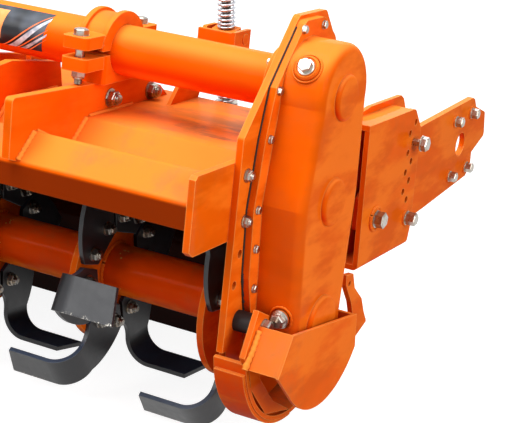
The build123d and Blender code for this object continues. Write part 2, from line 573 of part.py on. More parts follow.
keep_pair("lower_spring", on_rod(ring_z(SPRING_R, ROD_R + 3, seat_down - LOWER_SPRING, seat_down)))

board_ear = outline((258, 96), (clevis_yz[0] + 8, clevis_yz[1] + 18), (clevis_yz[0] + 18, clevis_yz[1]),
                    (clevis_yz[0] + 8, clevis_yz[1] - 18), (264.5, 10))
ears = []
for x0 in (ROD_X - 10.5 - EAR_T, ROD_X + 10.5):
    ears.append(plate(board_ear, x0, x0 + EAR_T) - bar_x(*clevis_yz, 8 + SEAM, x0, x0 + EAR_T))
ears.append(bar_x(*clevis_yz, 8, ROD_X - 10.5 - EAR_T - 6, ROD_X + 10.5 + EAR_T + 6))
keep("board_clevises", ears + [mirror(solid, about=Plane.YZ) for solid in ears])

ear_lo, ear_hi = ROD_X - EAR_GAP / 2, ROD_X + EAR_GAP / 2
ty, tz = trunnion_yz
cheek = plate(outline((100, deck_top), (198, deck_top), (ty + 20, tz - 16), (ty + 20, tz + 16),
                      (ty - 20, tz + 16), (150, 340)), ear_lo - EAR_T, ear_lo)
web = box(ear_lo - EAR_T, ear_hi + EAR_T, ty - 38, ty - 30, tz - 20, tz + 14)
right_ear = box(ear_hi, ear_hi + EAR_T, ty - 38, ty + 20, tz - 20, tz + 16)
bracket = cheek + web + right_ear - bar_x(ty, tz, 10 + SEAM, ear_lo - EAR_T, ear_hi + EAR_T)
keep_pair("spring_bracket", bracket)

# --- Rear arms in their box brackets --------------------------------------------------------------
BOX_W = 50
BOX_T = 10
box_out = side_out + BOX_W
ARM_T = 12
PIVOT = (276, 114)
HOLE_PITCH = 37
BOX_TOP = 295
BOX_BOTTOM = 26
outer_face = outline((207, BOX_TOP), (226, BOX_BOTTOM), (448, BOX_BOTTOM), (456, 62), (447, 252),
                     (410, BOX_TOP))
inner_face = outline((205, BOX_TOP), (210, 30), (438, 30), (460, 62), (462, 282), (450, 300), (436, 308),
                     (300, 308))
channel = plate(round_corners(outer_face, [(447, 252, 20), (410, BOX_TOP, 20)]), box_out - BOX_T, box_out)
channel += box(side_out, box_out, 207, 400, BOX_TOP - BOX_T, BOX_TOP)
channel += box(side_out, box_out, 226, 400, BOX_BOTTOM, BOX_BOTTOM + BOX_T)
folds = [one for one in channel.edges().filter_by(Axis.Y)
         if abs(one.center().X - box_out) < 0.1 and one.center().Z in (BOX_TOP, BOX_BOTTOM)]
channel = fillet(folds, BOX_T) if folds else channel
channel += plate(inner_face, side_out, side_out + 8)
for row in range(5):
    channel -= bar_x(418, 268 - row * HOLE_PITCH, 6.5, side_out, box_out)
for row in range(4):
    channel -= bar_x(397, 250 - row * HOLE_PITCH, 6.5, side_out, box_out)

arm_in = side_out + 18
SEAT = (727, 168)
SEAT_R = 24
ARM_HEEL = ((252, 150), (252, 92))                # rounded corners of the arm, at its pivot and its tip
ARM_TIP = ((850, 216), (863, 165), (803, 112))
arm_face = outline(ARM_HEEL[0], (300, 176), (430, 216), (500, 243), (768, 258), (780, 253), (792, 236),
                   *ARM_TIP[:2], (800, 139), ARM_TIP[2], (782, 92), (560, 68), (440, 58), (300, 76),
                   ARM_HEEL[1])
arm = plate(round_corners(arm_face, [(*corner, 8) for corner in ARM_HEEL + ARM_TIP]), arm_in, arm_in + ARM_T)
ARM_BOLTS = ((766, 227), (682, 223), (772, 113), (684, 110))
arm -= bar_x(*SEAT, SEAT_R, arm_in, arm_in + ARM_T)
for y, z in ARM_BOLTS:
    arm -= bar_x(y, z, 6.5, arm_in, arm_in + ARM_T)
STOP_BOLT = (424, 84)
PIVOT_R = 12
STOP_R = 8
bolts = []
for (y, z), r in ((PIVOT, PIVOT_R), (STOP_BOLT, STOP_R)):
    for start, end in ((side_out + 8, arm_in), (arm_in + ARM_T, box_out - BOX_T)):
        bolts.append(bar_x(y, z, r + 9, start, end) - bar_x(y, z, r + SEAM, start, end))
    bolts.append(bar_x(y, z, r, side_out + 8, box_out + 2) + bar_x(y, z, r + 7, box_out, box_out + 3))
    arm -= bar_x(y, z, r + SEAM, arm_in, arm_in + ARM_T)
    hole = bar_x(y, z, r + SEAM, box_out - BOX_T, box_out)
    channel -= hole
keep_pair("arm_bracket", channel)
keep_pair("roller_arm", arm)
keep_pair("arm_bolts", bolts)

# --- Set the machine down on the floor and write one file for each sub-part -----------------------
for name, parts in pieces.items():
    parts = parts if isinstance(parts, list) else [parts]
    pieces[name] = [solid for part in parts for solid in part.solids()]
bounds = Compound([solid for solids in pieces.values() for solid in solids]).bounding_box()
SHIFT = Vector(-bounds.center().X, -bounds.center().Y, -bounds.min.Z)
for name, solids in pieces.items():
    export_step(Compound([Pos(*SHIFT) * solid for solid in solids]), f"parts/{name}.step")
print(len(pieces), "sub-parts, floor to rotor axis", round(SHIFT.Z, 1), "size", bounds.size)
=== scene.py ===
import math
import random

import bmesh
import bpy
from mathutils import Matrix, Vector


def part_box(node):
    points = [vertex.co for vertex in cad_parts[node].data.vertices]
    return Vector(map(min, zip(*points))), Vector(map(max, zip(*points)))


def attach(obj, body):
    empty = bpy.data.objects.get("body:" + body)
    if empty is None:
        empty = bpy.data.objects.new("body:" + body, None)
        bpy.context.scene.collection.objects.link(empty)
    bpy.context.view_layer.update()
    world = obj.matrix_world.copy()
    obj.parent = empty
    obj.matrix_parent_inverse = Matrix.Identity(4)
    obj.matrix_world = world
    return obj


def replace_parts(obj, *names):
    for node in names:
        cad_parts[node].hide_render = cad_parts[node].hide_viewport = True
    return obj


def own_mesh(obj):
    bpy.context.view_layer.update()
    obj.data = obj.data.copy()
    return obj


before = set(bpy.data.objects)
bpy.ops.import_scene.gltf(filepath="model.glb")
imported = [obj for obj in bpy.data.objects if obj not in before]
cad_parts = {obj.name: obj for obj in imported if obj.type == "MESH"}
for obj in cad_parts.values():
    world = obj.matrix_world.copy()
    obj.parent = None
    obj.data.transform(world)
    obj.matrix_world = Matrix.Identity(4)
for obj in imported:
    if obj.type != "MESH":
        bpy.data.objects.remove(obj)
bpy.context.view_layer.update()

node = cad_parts

# --- Studio ---
# The machine stands on a white floor under large soft lamps, with white all round it. Places on the
# machine are given in millimetres from the middle of the rotor's axis: X to the gear case, Y backwards.
MM = 0.001
rotor_low, rotor_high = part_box("rotor_tube")
MIDDLE = (rotor_low + rotor_high) / 2


def at(x, y, z):
    """A place on the machine, from millimetres to the frame."""
    return MIDDLE + Vector((x, y, z)) * MM


scene = bpy.context.scene
scene.view_settings.view_transform = "Standard"

CAMERA_PLACE = at(2083, -2366, 936)
CAMERA_TURN = (28.11, 16.22, 5.49)                 # degrees: round the machine, downwards, roll
camera_data = bpy.data.cameras.new("camera")
camera_data.sensor_width = 36
camera_data.lens = 113.25
camera_data.shift_x = 0.1
camera_data.shift_y = -0.013
camera_data.clip_start = 0.05
camera_data.clip_end = 100
camera = bpy.data.objects.new("camera", camera_data)
scene.collection.objects.link(camera)
turn, down, roll = (math.radians(a) for a in CAMERA_TURN)
camera.matrix_world = (Matrix.Translation(CAMERA_PLACE) @ Matrix.Rotation(turn, 4, "Z")
                       @ Matrix.Rotation(math.pi / 2 - down, 4, "X") @ Matrix.Rotation(roll, 4, "Z"))
scene.camera = camera


def soft_lamp(name, place, aim, size, power):
    """A large square lamp that points at aim."""
    lamp = bpy.data.lights.new(name, "AREA")
    lamp.size = size
    lamp.energy = power
    thing = bpy.data.objects.new(name, lamp)
    thing.location = place
    thing.rotation_euler = (Vector(aim) - Vector(place)).to_track_quat("-Z", "Y").to_euler()
    scene.collection.objects.link(thing)


soft_lamp("lamp_overhead", (-0.3, -1.2, 4.4), (0, 0, 0.3), 3.4, 250)
soft_lamp("lamp_front", (-1.6, -4.2, 3.0), (0, 0, 0.4), 2.4, 112)
soft_lamp("lamp_case_side", (4.3, -1.3, 1.9), (0.6, 0, 0.3), 2.2, 92)
soft_lamp("lamp_behind", (-0.5, 4.4, 2.4), (0, 0, 0.4), 2.6, 75)


def new_material(name):
    """A material with an empty Principled shader: (material, nodes, links, shader)."""
    material = bpy.data.materials.new(name)
    material.use_nodes = True
    tree = material.node_tree
    return material, tree.nodes, tree.links, tree.nodes["Principled BSDF"]


def seen_rays(tree):
    """1 for the rays that show a surface by itself, in a reflection or through glass."""
    path = tree.nodes.new("ShaderNodeLightPath")
    value = path.outputs["Is Camera Ray"]
    for other in ("Is Glossy Ray", "Is Transmission Ray"):
        most = tree.nodes.new("ShaderNodeMath")
        most.operation = "MAXIMUM"
        tree.links.new(value, most.inputs[0])
        tree.links.new(path.outputs[other], most.inputs[1])
        value = most.outputs[0]
    return value


def white_for_camera(tree, lit, output, socket, seen):
    """Shows plain white to the camera and in reflections, and lit to everything else."""
    mix = tree.nodes.new("ShaderNodeMixShader")
    tree.links.new(seen_rays(tree), mix.inputs[0])
    tree.links.new(lit, mix.inputs[1])
    tree.links.new(seen, mix.inputs[2])
    tree.links.new(mix.outputs[0], output.inputs[socket])


ROOM_FILL = 0.27
world = bpy.data.worlds.new("white_room")
world.use_nodes = True
scene.world = world
fill = world.node_tree.nodes["Background"]
fill.inputs["Color"].default_value = (1, 1, 1, 1)
fill.inputs["Strength"].default_value = ROOM_FILL
white = world.node_tree.nodes.new("ShaderNodeBackground")
white.inputs["Color"].default_value = (1, 1, 1, 1)
white.inputs["Strength"].default_value = 1
white_for_camera(world.node_tree, fill.outputs[0], world.node_tree.nodes["World Output"], "Surface",
                 white.outputs[0])

FLOOR_SIZE = 40
FLOOR_TONE = 0.32
FLOOR_LIFT = 0.9
floor_mesh = bmesh.new()
bmesh.ops.create_grid(floor_mesh, x_segments=1, y_segments=1, size=FLOOR_SIZE)
floor_data = bpy.data.meshes.new("floor")
floor_mesh.to_mesh(floor_data)
floor_mesh.free()
floor = bpy.data.objects.new("floor", floor_data)
scene.collection.objects.link(floor)
floor_paint, nodes, links, paint = new_material("floor_white")
paint.inputs["Base Color"].default_value = (FLOOR_TONE, FLOOR_TONE, FLOOR_TONE, 1)
paint.inputs["Roughness"].default_value = 0.9
paint.inputs["Specular IOR Level"].default_value = 0
paint.inputs["Emission Color"].default_value = (1, 1, 1, 1)
lift = nodes.new("ShaderNodeMath")
lift.operation = "MULTIPLY"
lift.inputs[1].default_value = FLOOR_LIFT
links.new(seen_rays(floor_paint.node_tree), lift.inputs[0])
links.new(lift.outputs[0], paint.inputs["Emission Strength"])
floor_data.materials.append(floor_paint)

# --- Rotor tube and its flanges ---
# A thick steel tube with eight round flanges slid over it and welded on both sides. It is sprayed in the
# machine's orange enamel, which gathers dust and scuffs. Painted light is laid into the enamel's colour: a
# painted pale sky reflection on faces turned up, a painted pale glare at a slant, painted shade on faces
# turned down and in creases, and a painted highlight along sharp edges.
ORANGE = (0.93, 0.12, 0.001, 1)
# painted reflection: the pale orange that faces turned up are mixed towards, standing in for the sky seen in
# the gloss
SKY_REFLECTION = (1.0, 0.31, 0.045, 1)
DUST = (0.30, 0.15, 0.06, 1)
SHADED = (0.80, 0.045, 0.0005, 1)
# painted reflection: the pale orange glare laid on faces seen at a slant
GLARE = (1.0, 0.20, 0.012, 1)
GLARE_SHARE = 0.85
# painted highlight: the lighter orange laid along sharp corners
EDGE_HIGHLIGHT = (1.0, 0.40, 0.09, 1)
# painted shade: the deep red that creases and nooks are darkened towards
CREASE_SHADE = (0.30, 0.022, 0.001, 1)


def feed(links, slot, value):
    """Gives a node's slot a plain number or colour, or links a socket to it."""
    if isinstance(value, (int, float, tuple)):
        slot.default_value = value
    else:
        links.new(value, slot)


def mix_colors(nodes, links, amount, first, second, mode="MIX"):
    """A mix of two colours by an amount socket."""
    mix = nodes.new("ShaderNodeMix")
    mix.data_type = "RGBA"
    mix.blend_type = mode
    links.new(amount, mix.inputs[0])
    feed(links, mix.inputs[6], first)
    feed(links, mix.inputs[7], second)
    return mix.outputs[2]


def math_node(nodes, links, kind, first, second, clamp=False):
    """A Math node whose inputs are sockets or numbers."""
    step = nodes.new("ShaderNodeMath")
    step.operation = kind
    step.use_clamp = clamp
    feed(links, step.inputs[0], first)
    feed(links, step.inputs[1], second)
    return step.outputs[0]


def product(nodes, links, first, second):
    """Two sockets or numbers multiplied."""
    return math_node(nodes, links, "MULTIPLY", first, second)


def noise(nodes, links, place, scale, detail=3, rough=0.55):
    """A noise value at the object's own coordinates."""
    tex = nodes.new("ShaderNodeTexNoise")
    tex.inputs["Scale"].default_value = scale
    tex.inputs["Detail"].default_value = detail
    tex.inputs["Roughness"].default_value = rough
    links.new(place, tex.inputs["Vector"])
    return tex.outputs["Fac"]


def ramp(nodes, links, value, low, high):
    """Stretches the part of a value between low and high to 0 and 1."""
    span = nodes.new("ShaderNodeMapRange")
    span.interpolation_type = "SMOOTHSTEP"
    span.inputs["From Min"].default_value = low
    span.inputs["From Max"].default_value = high
    links.new(value, span.inputs["Value"])
    return span.outputs["Result"]


def beyond(nodes, links, value, limit, fade):
    """0 up to a limit and 1 past it, over a soft fade."""
    return ramp(nodes, links, math_node(nodes, links, "SUBTRACT", value, limit), 0.0, fade)


def own_place(nodes):
    """The object's own coordinates."""
    return nodes.new("ShaderNodeTexCoord").outputs["Object"]


def stretched(nodes, links, scale):
    """The object's own coordinates, scaled along each axis."""
    mapping = nodes.new("ShaderNodeMapping")
    mapping.inputs["Scale"].default_value = scale
    links.new(own_place(nodes), mapping.inputs["Vector"])
    return mapping.outputs[0]


def parts_of(nodes, links, vector):
    """The X, Y and Z of a vector socket."""
    split = nodes.new("ShaderNodeSeparateXYZ")
    links.new(vector, split.inputs[0])
    return split.outputs


def soft_corner(nodes, radius, samples=6):
    """A normal that rounds over the corners, radius in metres."""
    bevel = nodes.new("ShaderNodeBevel")
    bevel.samples = samples
    bevel.inputs["Radius"].default_value = radius
    return bevel.outputs[0]


def corner_mask(nodes, links, normal, radius, full):
    """1 along sharp corners and 0 on flat faces."""
    turned = nodes.new("ShaderNodeVectorMath")
    turned.operation = "DOT_PRODUCT"
    links.new(soft_corner(nodes, radius), turned.inputs[0])
    links.new(normal, turned.inputs[1])
    return ramp(nodes, links, math_node(nodes, links, "SUBTRACT", 1.0, turned.outputs["Value"]), 0.01, full)


def new_group(name, inputs, outputs):
    """A node group with named sockets: (group, nodes, links, what it is given, what it makes)."""
    group = bpy.data.node_groups.new(name, "ShaderNodeTree")
    kinds = {4: "NodeSocketColor", 3: "NodeSocketVector"}
    for socket, value in inputs.items():
        kind = kinds[len(value)] if isinstance(value, tuple) else "NodeSocketFloat"
        group.interface.new_socket(socket, in_out="INPUT", socket_type=kind).default_value = value
    for socket in outputs:
        kind = "NodeSocketColor" if socket == "Color" else "NodeSocketFloat"
        group.interface.new_socket(socket, in_out="OUTPUT", socket_type=kind)
    nodes = group.nodes
    given = nodes.new("NodeGroupInput")
    made = nodes.new("NodeGroupOutput")
    return group, nodes, group.links, given.outputs, made.inputs


def group_skin(nodes, links, group, paint, values):
    """Adds a node group, gives the shader its roughness, and returns its outputs."""
    skin = nodes.new("ShaderNodeGroup")
    skin.node_tree = group
    for socket, value in values.items():
        skin.inputs[socket].default_value = value
    links.new(skin.outputs["Roughness"], paint.inputs["Roughness"])
    return skin.outputs


def add_bump(nodes, links, paint, height, strength, distance, edge=0.0, samples=4):
    """Fine relief on a shader, over corners that are rounded by edge."""
    bump = nodes.new("ShaderNodeBump")
    bump.inputs["Strength"].default_value = strength
    bump.inputs["Distance"].default_value = distance
    links.new(height, bump.inputs["Height"])
    if edge:
        links.new(soft_corner(nodes, edge, samples), bump.inputs["Normal"])
    links.new(bump.outputs[0], paint.inputs["Normal"])


enamel, n, l, given, made = new_group("sprayed_enamel", {
    "Paint": ORANGE, "Dust": DUST, "Sky Reflection": SKY_REFLECTION, "Sky Reflection Amount": 0.6, "Edge Highlight Amount": 0.75,
    "Dust Amount": 0.25, "Gloss Roughness": 0.3, "Casting": 0.0}, ("Color", "Roughness", "Height"))
place = own_place(n)
normal = n.new("ShaderNodeNewGeometry").outputs["Normal"]
facing = parts_of(n, l, normal)["Z"]
broad = product(n, l, ramp(n, l, noise(n, l, place, 3.1, 4), 0.3, 0.7),
                ramp(n, l, noise(n, l, stretched(n, l, (1, 1, 2.6)), 6.5, 2), 0.36, 0.56))
deeper = n.new("ShaderNodeHueSaturation")
deeper.inputs["Value"].default_value = 0.82
l.new(given["Paint"], deeper.inputs["Color"])
fresh = mix_colors(n, l, broad, deeper.outputs[0], given["Paint"])
upward = ramp(n, l, facing, 0.35, 0.95)
# painted sky reflection: faces turned up are lightened towards the pale orange
sky_reflection_mask = product(n, l, ramp(n, l, facing, 0.25, 0.8), given["Sky Reflection Amount"])
# painted highlight along sharp corners, found by a rounding normal
edges = corner_mask(n, l, normal, 0.003, 0.16)
# painted shade: faces turned down are mixed towards the deeper red SHADED
downward = ramp(n, l, product(n, l, facing, -1.0), -0.05, 0.6)
fresh = mix_colors(n, l, downward, fresh, SHADED)
tone = mix_colors(n, l, sky_reflection_mask, fresh, given["Sky Reflection"])
tone = mix_colors(n, l, product(n, l, edges, given["Edge Highlight Amount"]), tone, EDGE_HIGHLIGHT)
smears = ramp(n, l, noise(n, l, place, 7.5, 7, 0.68), 0.47, 0.72)
specks = ramp(n, l, noise(n, l, place, 85, 5, 0.7), 0.61, 0.70)
settled = product(n, l, smears, math_node(n, l, "ADD", upward, 0.5))
dirt = math_node(n, l, "ADD", settled, product(n, l, specks, 0.3))
dirt = math_node(n, l, "MULTIPLY", dirt, given["Dust Amount"], clamp=True)
soiled = mix_colors(n, l, dirt, tone, given["Dust"])
# painted shade: creases and nooks found by ambient occlusion are darkened towards deep red
occlusion = n.new("ShaderNodeAmbientOcclusion")
occlusion.samples = 6
occlusion.inputs["Distance"].default_value = 0.03
crease_shade_mask = ramp(n, l, math_node(n, l, "SUBTRACT", 1.0, occlusion.outputs["AO"]), 0.3, 0.85)
l.new(mix_colors(n, l, product(n, l, crease_shade_mask, 0.75), soiled, CREASE_SHADE), made["Color"])
uneven = product(n, l, noise(n, l, place, 26, 4), 0.12)
rough = math_node(n, l, "ADD", given["Gloss Roughness"], uneven)
rough = math_node(n, l, "ADD", rough, product(n, l, dirt, 0.5), clamp=True)
l.new(rough, made["Roughness"])
peel = product(n, l, noise(n, l, place, 420, 2), 0.25)
sand = product(n, l, noise(n, l, place, 240, 6, 0.7), given["Casting"])
lumps = product(n, l, noise(n, l, place, 34, 3), given["Casting"])
l.new(math_node(n, l, "ADD", peel, math_node(n, l, "ADD", sand, lumps)), made["Height"])


def enamel_material(name, color, dust_amount, roughness, casting, sky_reflection=0.6, edge=0.0015, depth=0.0006):
    """Orange enamel over sheet or casting, with softly rounded edges and a painted pale reflection (glare) at
    a slant.
    """
    material, nodes, links, paint = new_material(name)
    coat = group_skin(nodes, links, enamel, paint, {
        "Paint": color, "Dust": DUST, "Sky Reflection": SKY_REFLECTION, "Sky Reflection Amount": sky_reflection, "Dust Amount": dust_amount,
        "Gloss Roughness": roughness, "Casting": casting})
    # painted reflection: faces seen at a slant are lightened towards GLARE, in rolling bands
    glance = nodes.new("ShaderNodeLayerWeight")
    glance.inputs["Blend"].default_value = 0.5
    reflection_waves = stretched(nodes, links, (1, 1, 3.2))
    rolling_reflection = ramp(nodes, links, noise(nodes, links, reflection_waves, 5.5, 4, 0.6), 0.40, 0.60)
    rolling_reflection = math_node(nodes, links, "ADD", product(nodes, links, rolling_reflection, 0.85), 0.15)
    slant = ramp(nodes, links, glance.outputs["Facing"], 0.3, 0.62)
    amount = product(nodes, links, product(nodes, links, slant, GLARE_SHARE), rolling_reflection)
    shown = mix_colors(nodes, links, amount, coat["Color"], GLARE, "LIGHTEN")
    links.new(shown, paint.inputs["Base Color"])
    add_bump(nodes, links, paint, coat["Height"], 0.35, depth, edge)
    paint.inputs["Specular IOR Level"].default_value = 0.0
    paint.inputs["Coat Weight"].default_value = 0.1
    paint.inputs["Coat IOR"].default_value = 1.25
    paint.inputs["Coat Roughness"].default_value = 0.05
    return material


def dress(names, material):
    """Gives CAD nodes their finish."""
    for name in names:
        data = node[name].data
        data.materials.clear()
        data.materials.append(material)


rotor_enamel = enamel_material("rotor_enamel", ORANGE, 0.45, 0.34, 0.15, sky_reflection=0)
dress(["rotor_flanges"], rotor_enamel)
# painted shade: the tube gets a deeper red copy of the enamel for the shade under the hood
dress(["rotor_tube"], enamel_material("shaded_enamel", (0.95, 0.066, 0.0009, 1), 0.35, 0.3, 0.15, sky_reflection=0))


def finished(name, mesh, body, material, sharp=35):
    """Turns a bmesh into a piece that rides on a body."""
    bmesh.ops.recalc_face_normals(mesh, faces=mesh.faces)
    data = bpy.data.meshes.new(name)
    mesh.to_mesh(data)
    mesh.free()
    data.materials.append(material)
    data.shade_smooth()
    data.set_sharp_from_angle(angle=math.radians(sharp))
    thing = bpy.data.objects.new(name, data)
    scene.collection.objects.link(thing)
    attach(thing, body)
    return thing


def side_directions(along):
    """Two directions square to along and to each other."""
    along = along.normalized()
    other = Vector((0, 0, 1)) if abs(along.z) < 0.9 else Vector((0, 1, 0))
    across = along.cross(other).normalized()
    return across, along.cross(across).normalized()


def ring_of(mesh, centre, across, up, radius, count, spin=0.0):
    """A ring of points, radius in metres."""
    turns = [spin + 2 * math.pi * k / count for k in range(count)]
    return [mesh.verts.new(centre + (across * math.cos(a) + up * math.sin(a)) * radius) for a in turns]


def skin_rings(mesh, rings, closed=False):
    """Faces from each ring to the next, with both ends capped or joined up."""
    pairs = list(zip(rings, rings[1:])) + ([(rings[-1], rings[0])] if closed else [])
    for low, high in pairs:
        for k in range(len(low)):
            following = (k + 1) % len(low)
            mesh.faces.new((low[k], low[following], high[following], high[k]))
    if not closed:
        mesh.faces.new(list(reversed(rings[0])))
        mesh.faces.new(rings[-1])


def lathe(mesh, start, along, profile, count=24, spin=0.0):
    """A turned form: profile holds (radius, distance) in millimetres from start along a direction."""
    along = along.normalized()
    across, up = side_directions(along)
    skin_rings(mesh, [ring_of(mesh, start + along * distance * MM, across, up, radius * MM, count, spin)
                      for radius, distance in profile])


BEAD_SIDES = 8


def bead(mesh, points, radius, seed=1, closed=False):
    """A weld bead in overlapping ripples along points in the frame, radius in millimetres."""
    rng = random.Random(seed)
    step = radius * 0.55 * MM
    path = []
    ends = points + points[:1] if closed else points
    for a, b in zip(ends, ends[1:]):
        count = max(1, int((b - a).length / step))
        path += [a.lerp(b, k / count) for k in range(count)]
    if not closed:
        path.append(ends[-1])
    rings = []
    for k, spot in enumerate(path):
        ahead = path[(k + 1) % len(path)] if closed or k + 1 < len(path) else spot
        behind = path[k - 1] if closed or k else spot
        across, up = side_directions(ahead - behind)
        r = radius * MM * (1 + 0.16 * math.sin(k * 2.1) + rng.uniform(-0.08, 0.08))
        rings.append(ring_of(mesh, spot, across, up, r, BEAD_SIDES))
    skin_rings(mesh, rings, closed)


FLANGES = 8
FLANGE_T = 12
flange_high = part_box("rotor_flanges")[1]
FLANGE_END = (flange_high.x - MIDDLE.x) / MM
FLANGE_PITCH = (2 * FLANGE_END - FLANGE_T) / (FLANGES - 1)
TUBE_R = 44.5
flange_faces = [FLANGE_END - FLANGE_T - i * FLANGE_PITCH for i in range(FLANGES)]


def round_x(x, y, z, radius, angle):
    """A place round an axis along X, at an angle in radians from backwards to up."""
    return at(x, y + radius * math.cos(angle), z + radius * math.sin(angle))


def circle(x, radius, count=48):
    """Points round the rotor's axis, in the frame."""
    return [round_x(x, 0, 0, radius, 2 * math.pi * k / count) for k in range(count)]


welds = bmesh.new()
for i, x in enumerate(flange_faces):
    if i < FLANGES - 1:
        bead(welds, circle(x - 1, TUBE_R + 1), 4, seed=i, closed=True)
    if i:
        bead(welds, circle(x + FLANGE_T + 1, TUBE_R + 1), 4, seed=i + 20, closed=True)
finished("rotor_welds", welds, "rotor", rotor_enamel)

flake_enamel = enamel_material("flake_enamel", (0.80, 0.30, 0.07, 1), 0.6, 0.5, 0.4, sky_reflection=0.2)
flakes = bmesh.new()
scatter = random.Random(11)
for x in flange_faces[:-1]:
    for k in range(14):
        a = scatter.uniform(0, 2 * math.pi) if k > 5 else math.radians(118 + scatter.uniform(-9, 9))
        spot = at(x + FLANGE_T + scatter.uniform(20, 42), TUBE_R * math.cos(a), TUBE_R * math.sin(a))
        outward = Vector((0, math.cos(a), math.sin(a)))
        r = scatter.uniform(0.8, 2.2)
        lathe(flakes, spot - outward * 0.5 * MM, outward, [(r, 0), (r * 0.8, 1.0), (r * 0.3, 1.6)], 7,
              scatter.random())
finished("rotor_flakes", flakes, "rotor", flake_enamel)

# --- Blades ---
# Each blade is one forged bar: a flat shank with a wide root, bent square to a foot that cuts the soil. They
# are dipped in satin black paint, which is thin on the corners and chipped along the cutting edge; the
# corners also carry a painted highlight, and faces turned up a painted bluish sky reflection.
BLADE_BLACK = (0.016, 0.016, 0.018, 1)
BARE_STEEL = (0.50, 0.47, 0.42, 1)
# painted reflection: the bluish grey laid on blade faces turned up, for the sky seen in the satin paint
BLADE_SKY_SHEEN = (0.07, 0.10, 0.17, 1)
THIN_PAINT_AND_HIGHLIGHT = (0.15, 0.15, 0.145, 1)
BARE_FROM = 0.2244                                 # metres from the rotor's axis to the worn edge
chips, n, l, given, made = new_group("chipped_edge", {
    "Paint": BLADE_BLACK, "Steel": BARE_STEEL, "Sky Sheen": BLADE_SKY_SHEEN, "Corner": THIN_PAINT_AND_HIGHLIGHT,
    "From Radius": 0.2, "Axis": tuple(MIDDLE)}, ("Color", "Bare", "Roughness", "Height"))
place = own_place(n)
offset = n.new("ShaderNodeVectorMath")
offset.operation = "SUBTRACT"
l.new(place, offset.inputs[0])
l.new(given["Axis"], offset.inputs[1])
flat = n.new("ShaderNodeVectorMath")
flat.operation = "MULTIPLY"
flat.inputs[1].default_value = (0, 1, 1)
l.new(offset.outputs[0], flat.inputs[0])
reach = n.new("ShaderNodeVectorMath")
reach.operation = "LENGTH"
l.new(flat.outputs[0], reach.inputs[0])
ragged = product(n, l, math_node(n, l, "SUBTRACT", noise(n, l, place, 130, 5, 0.75), 0.5), 0.018)
tip = beyond(n, l, math_node(n, l, "ADD", reach.outputs["Value"], ragged), given["From Radius"], 0.003)
scuffs = ramp(n, l, noise(n, l, place, 48, 8, 0.75), 0.68, 0.74)
bare = math_node(n, l, "MAXIMUM", tip, product(n, l, scuffs, 0.25), clamp=True)
normal = n.new("ShaderNodeNewGeometry").outputs["Normal"]
# thin paint on the corners together with a painted highlight along them
thin = corner_mask(n, l, normal, 0.0016, 0.15)
# painted sky reflection: faces turned up are mixed towards the bluish grey
sky_sheen_mask = product(n, l, ramp(n, l, parts_of(n, l, normal)["Z"], 0.35, 0.85), 0.55)
sky_sheened = mix_colors(n, l, sky_sheen_mask, given["Paint"], given["Sky Sheen"])
worn = mix_colors(n, l, product(n, l, thin, 0.7), sky_sheened, given["Corner"])
l.new(mix_colors(n, l, bare, worn, given["Steel"]), made["Color"])
l.new(bare, made["Bare"])
rough = math_node(n, l, "ADD", product(n, l, noise(n, l, place, 60, 5), 0.22), 0.26)
l.new(rough, made["Roughness"])
scale_marks = noise(n, l, place, 210, 5, 0.6)
l.new(math_node(n, l, "SUBTRACT", scale_marks, product(n, l, bare, 0.4)), made["Height"])

blade_black, nodes, links, paint = new_material("blade_black_paint")
skin = group_skin(nodes, links, chips, paint, {
    "Paint": BLADE_BLACK, "Steel": BARE_STEEL, "From Radius": BARE_FROM, "Axis": tuple(MIDDLE)})
links.new(skin["Color"], paint.inputs["Base Color"])
links.new(skin["Bare"], paint.inputs["Metallic"])
add_bump(nodes, links, paint, skin["Height"], 0.25, 0.0004, 0.0018, 6)
paint.inputs["Specular IOR Level"].default_value = 0.42
dress([f"blades_{i + 1}" for i in range(FLANGES)], blade_black)

# --- Blade bolts ---
# Two bolts hold each blade's root to its flange, with the heads on the flange and the lock nuts on the
# blade. They are zinc plated and dulled by soil. The other bolts of the machine are cleaner.
ZINC = (0.56, 0.545, 0.51, 1)
plating, n, l, given, made = new_group("zinc_plating", {
    "Zinc": ZINC, "Stain": (0.35, 0.24, 0.13, 1), "Stain Amount": 0.35}, ("Color", "Roughness", "Height"))
place = own_place(n)
stain = product(n, l, ramp(n, l, noise(n, l, place, 120, 5, 0.7), 0.42, 0.66), given["Stain Amount"])
l.new(mix_colors(n, l, stain, given["Zinc"], given["Stain"]), made["Color"])
l.new(math_node(n, l, "ADD", product(n, l, noise(n, l, place, 300, 3), 0.2), 0.2), made["Roughness"])
l.new(noise(n, l, place, 900, 3), made["Height"])


def zinc_material(name, color, stain, grain=0.2):
    """Zinc plating, or bare steel without a grain, of a given colour and staining."""
    material, nodes, links, metal = new_material(name)
    skin = group_skin(nodes, links, plating, metal, {"Zinc": color, "Stain Amount": stain})
    links.new(skin["Color"], metal.inputs["Base Color"])
    if grain:
        add_bump(nodes, links, metal, skin["Height"], grain, 0.0003)
    metal.inputs["Metallic"].default_value = 1
    return material


bright_zinc = zinc_material("bright_zinc", ZINC, 0.35)
nut_zinc = zinc_material("nut_zinc", (0.40, 0.385, 0.355, 1), 0.6)
soiled_zinc = zinc_material("soiled_zinc", (0.27, 0.255, 0.235, 1), 0.7)


def hex_head(mesh, start, along, size, height, spin=0.3):
    """A hexagon, size across its flats, with a chamfered top and a thin washer under it."""
    corner = size / 2 / math.cos(math.pi / 6)
    lathe(mesh, start, along, [(corner * 1.06, 0), (corner * 1.06, 1.6), (corner * 0.98, 2)], 24)
    shape = [(corner, 1.8), (corner, height - size * 0.07), (corner * 0.86, height)]
    lathe(mesh, start, along, shape, 6, spin)
    lathe(mesh, start, along, [(size * 0.43, height - 0.5), (size * 0.42, height + 0.3)], 24)


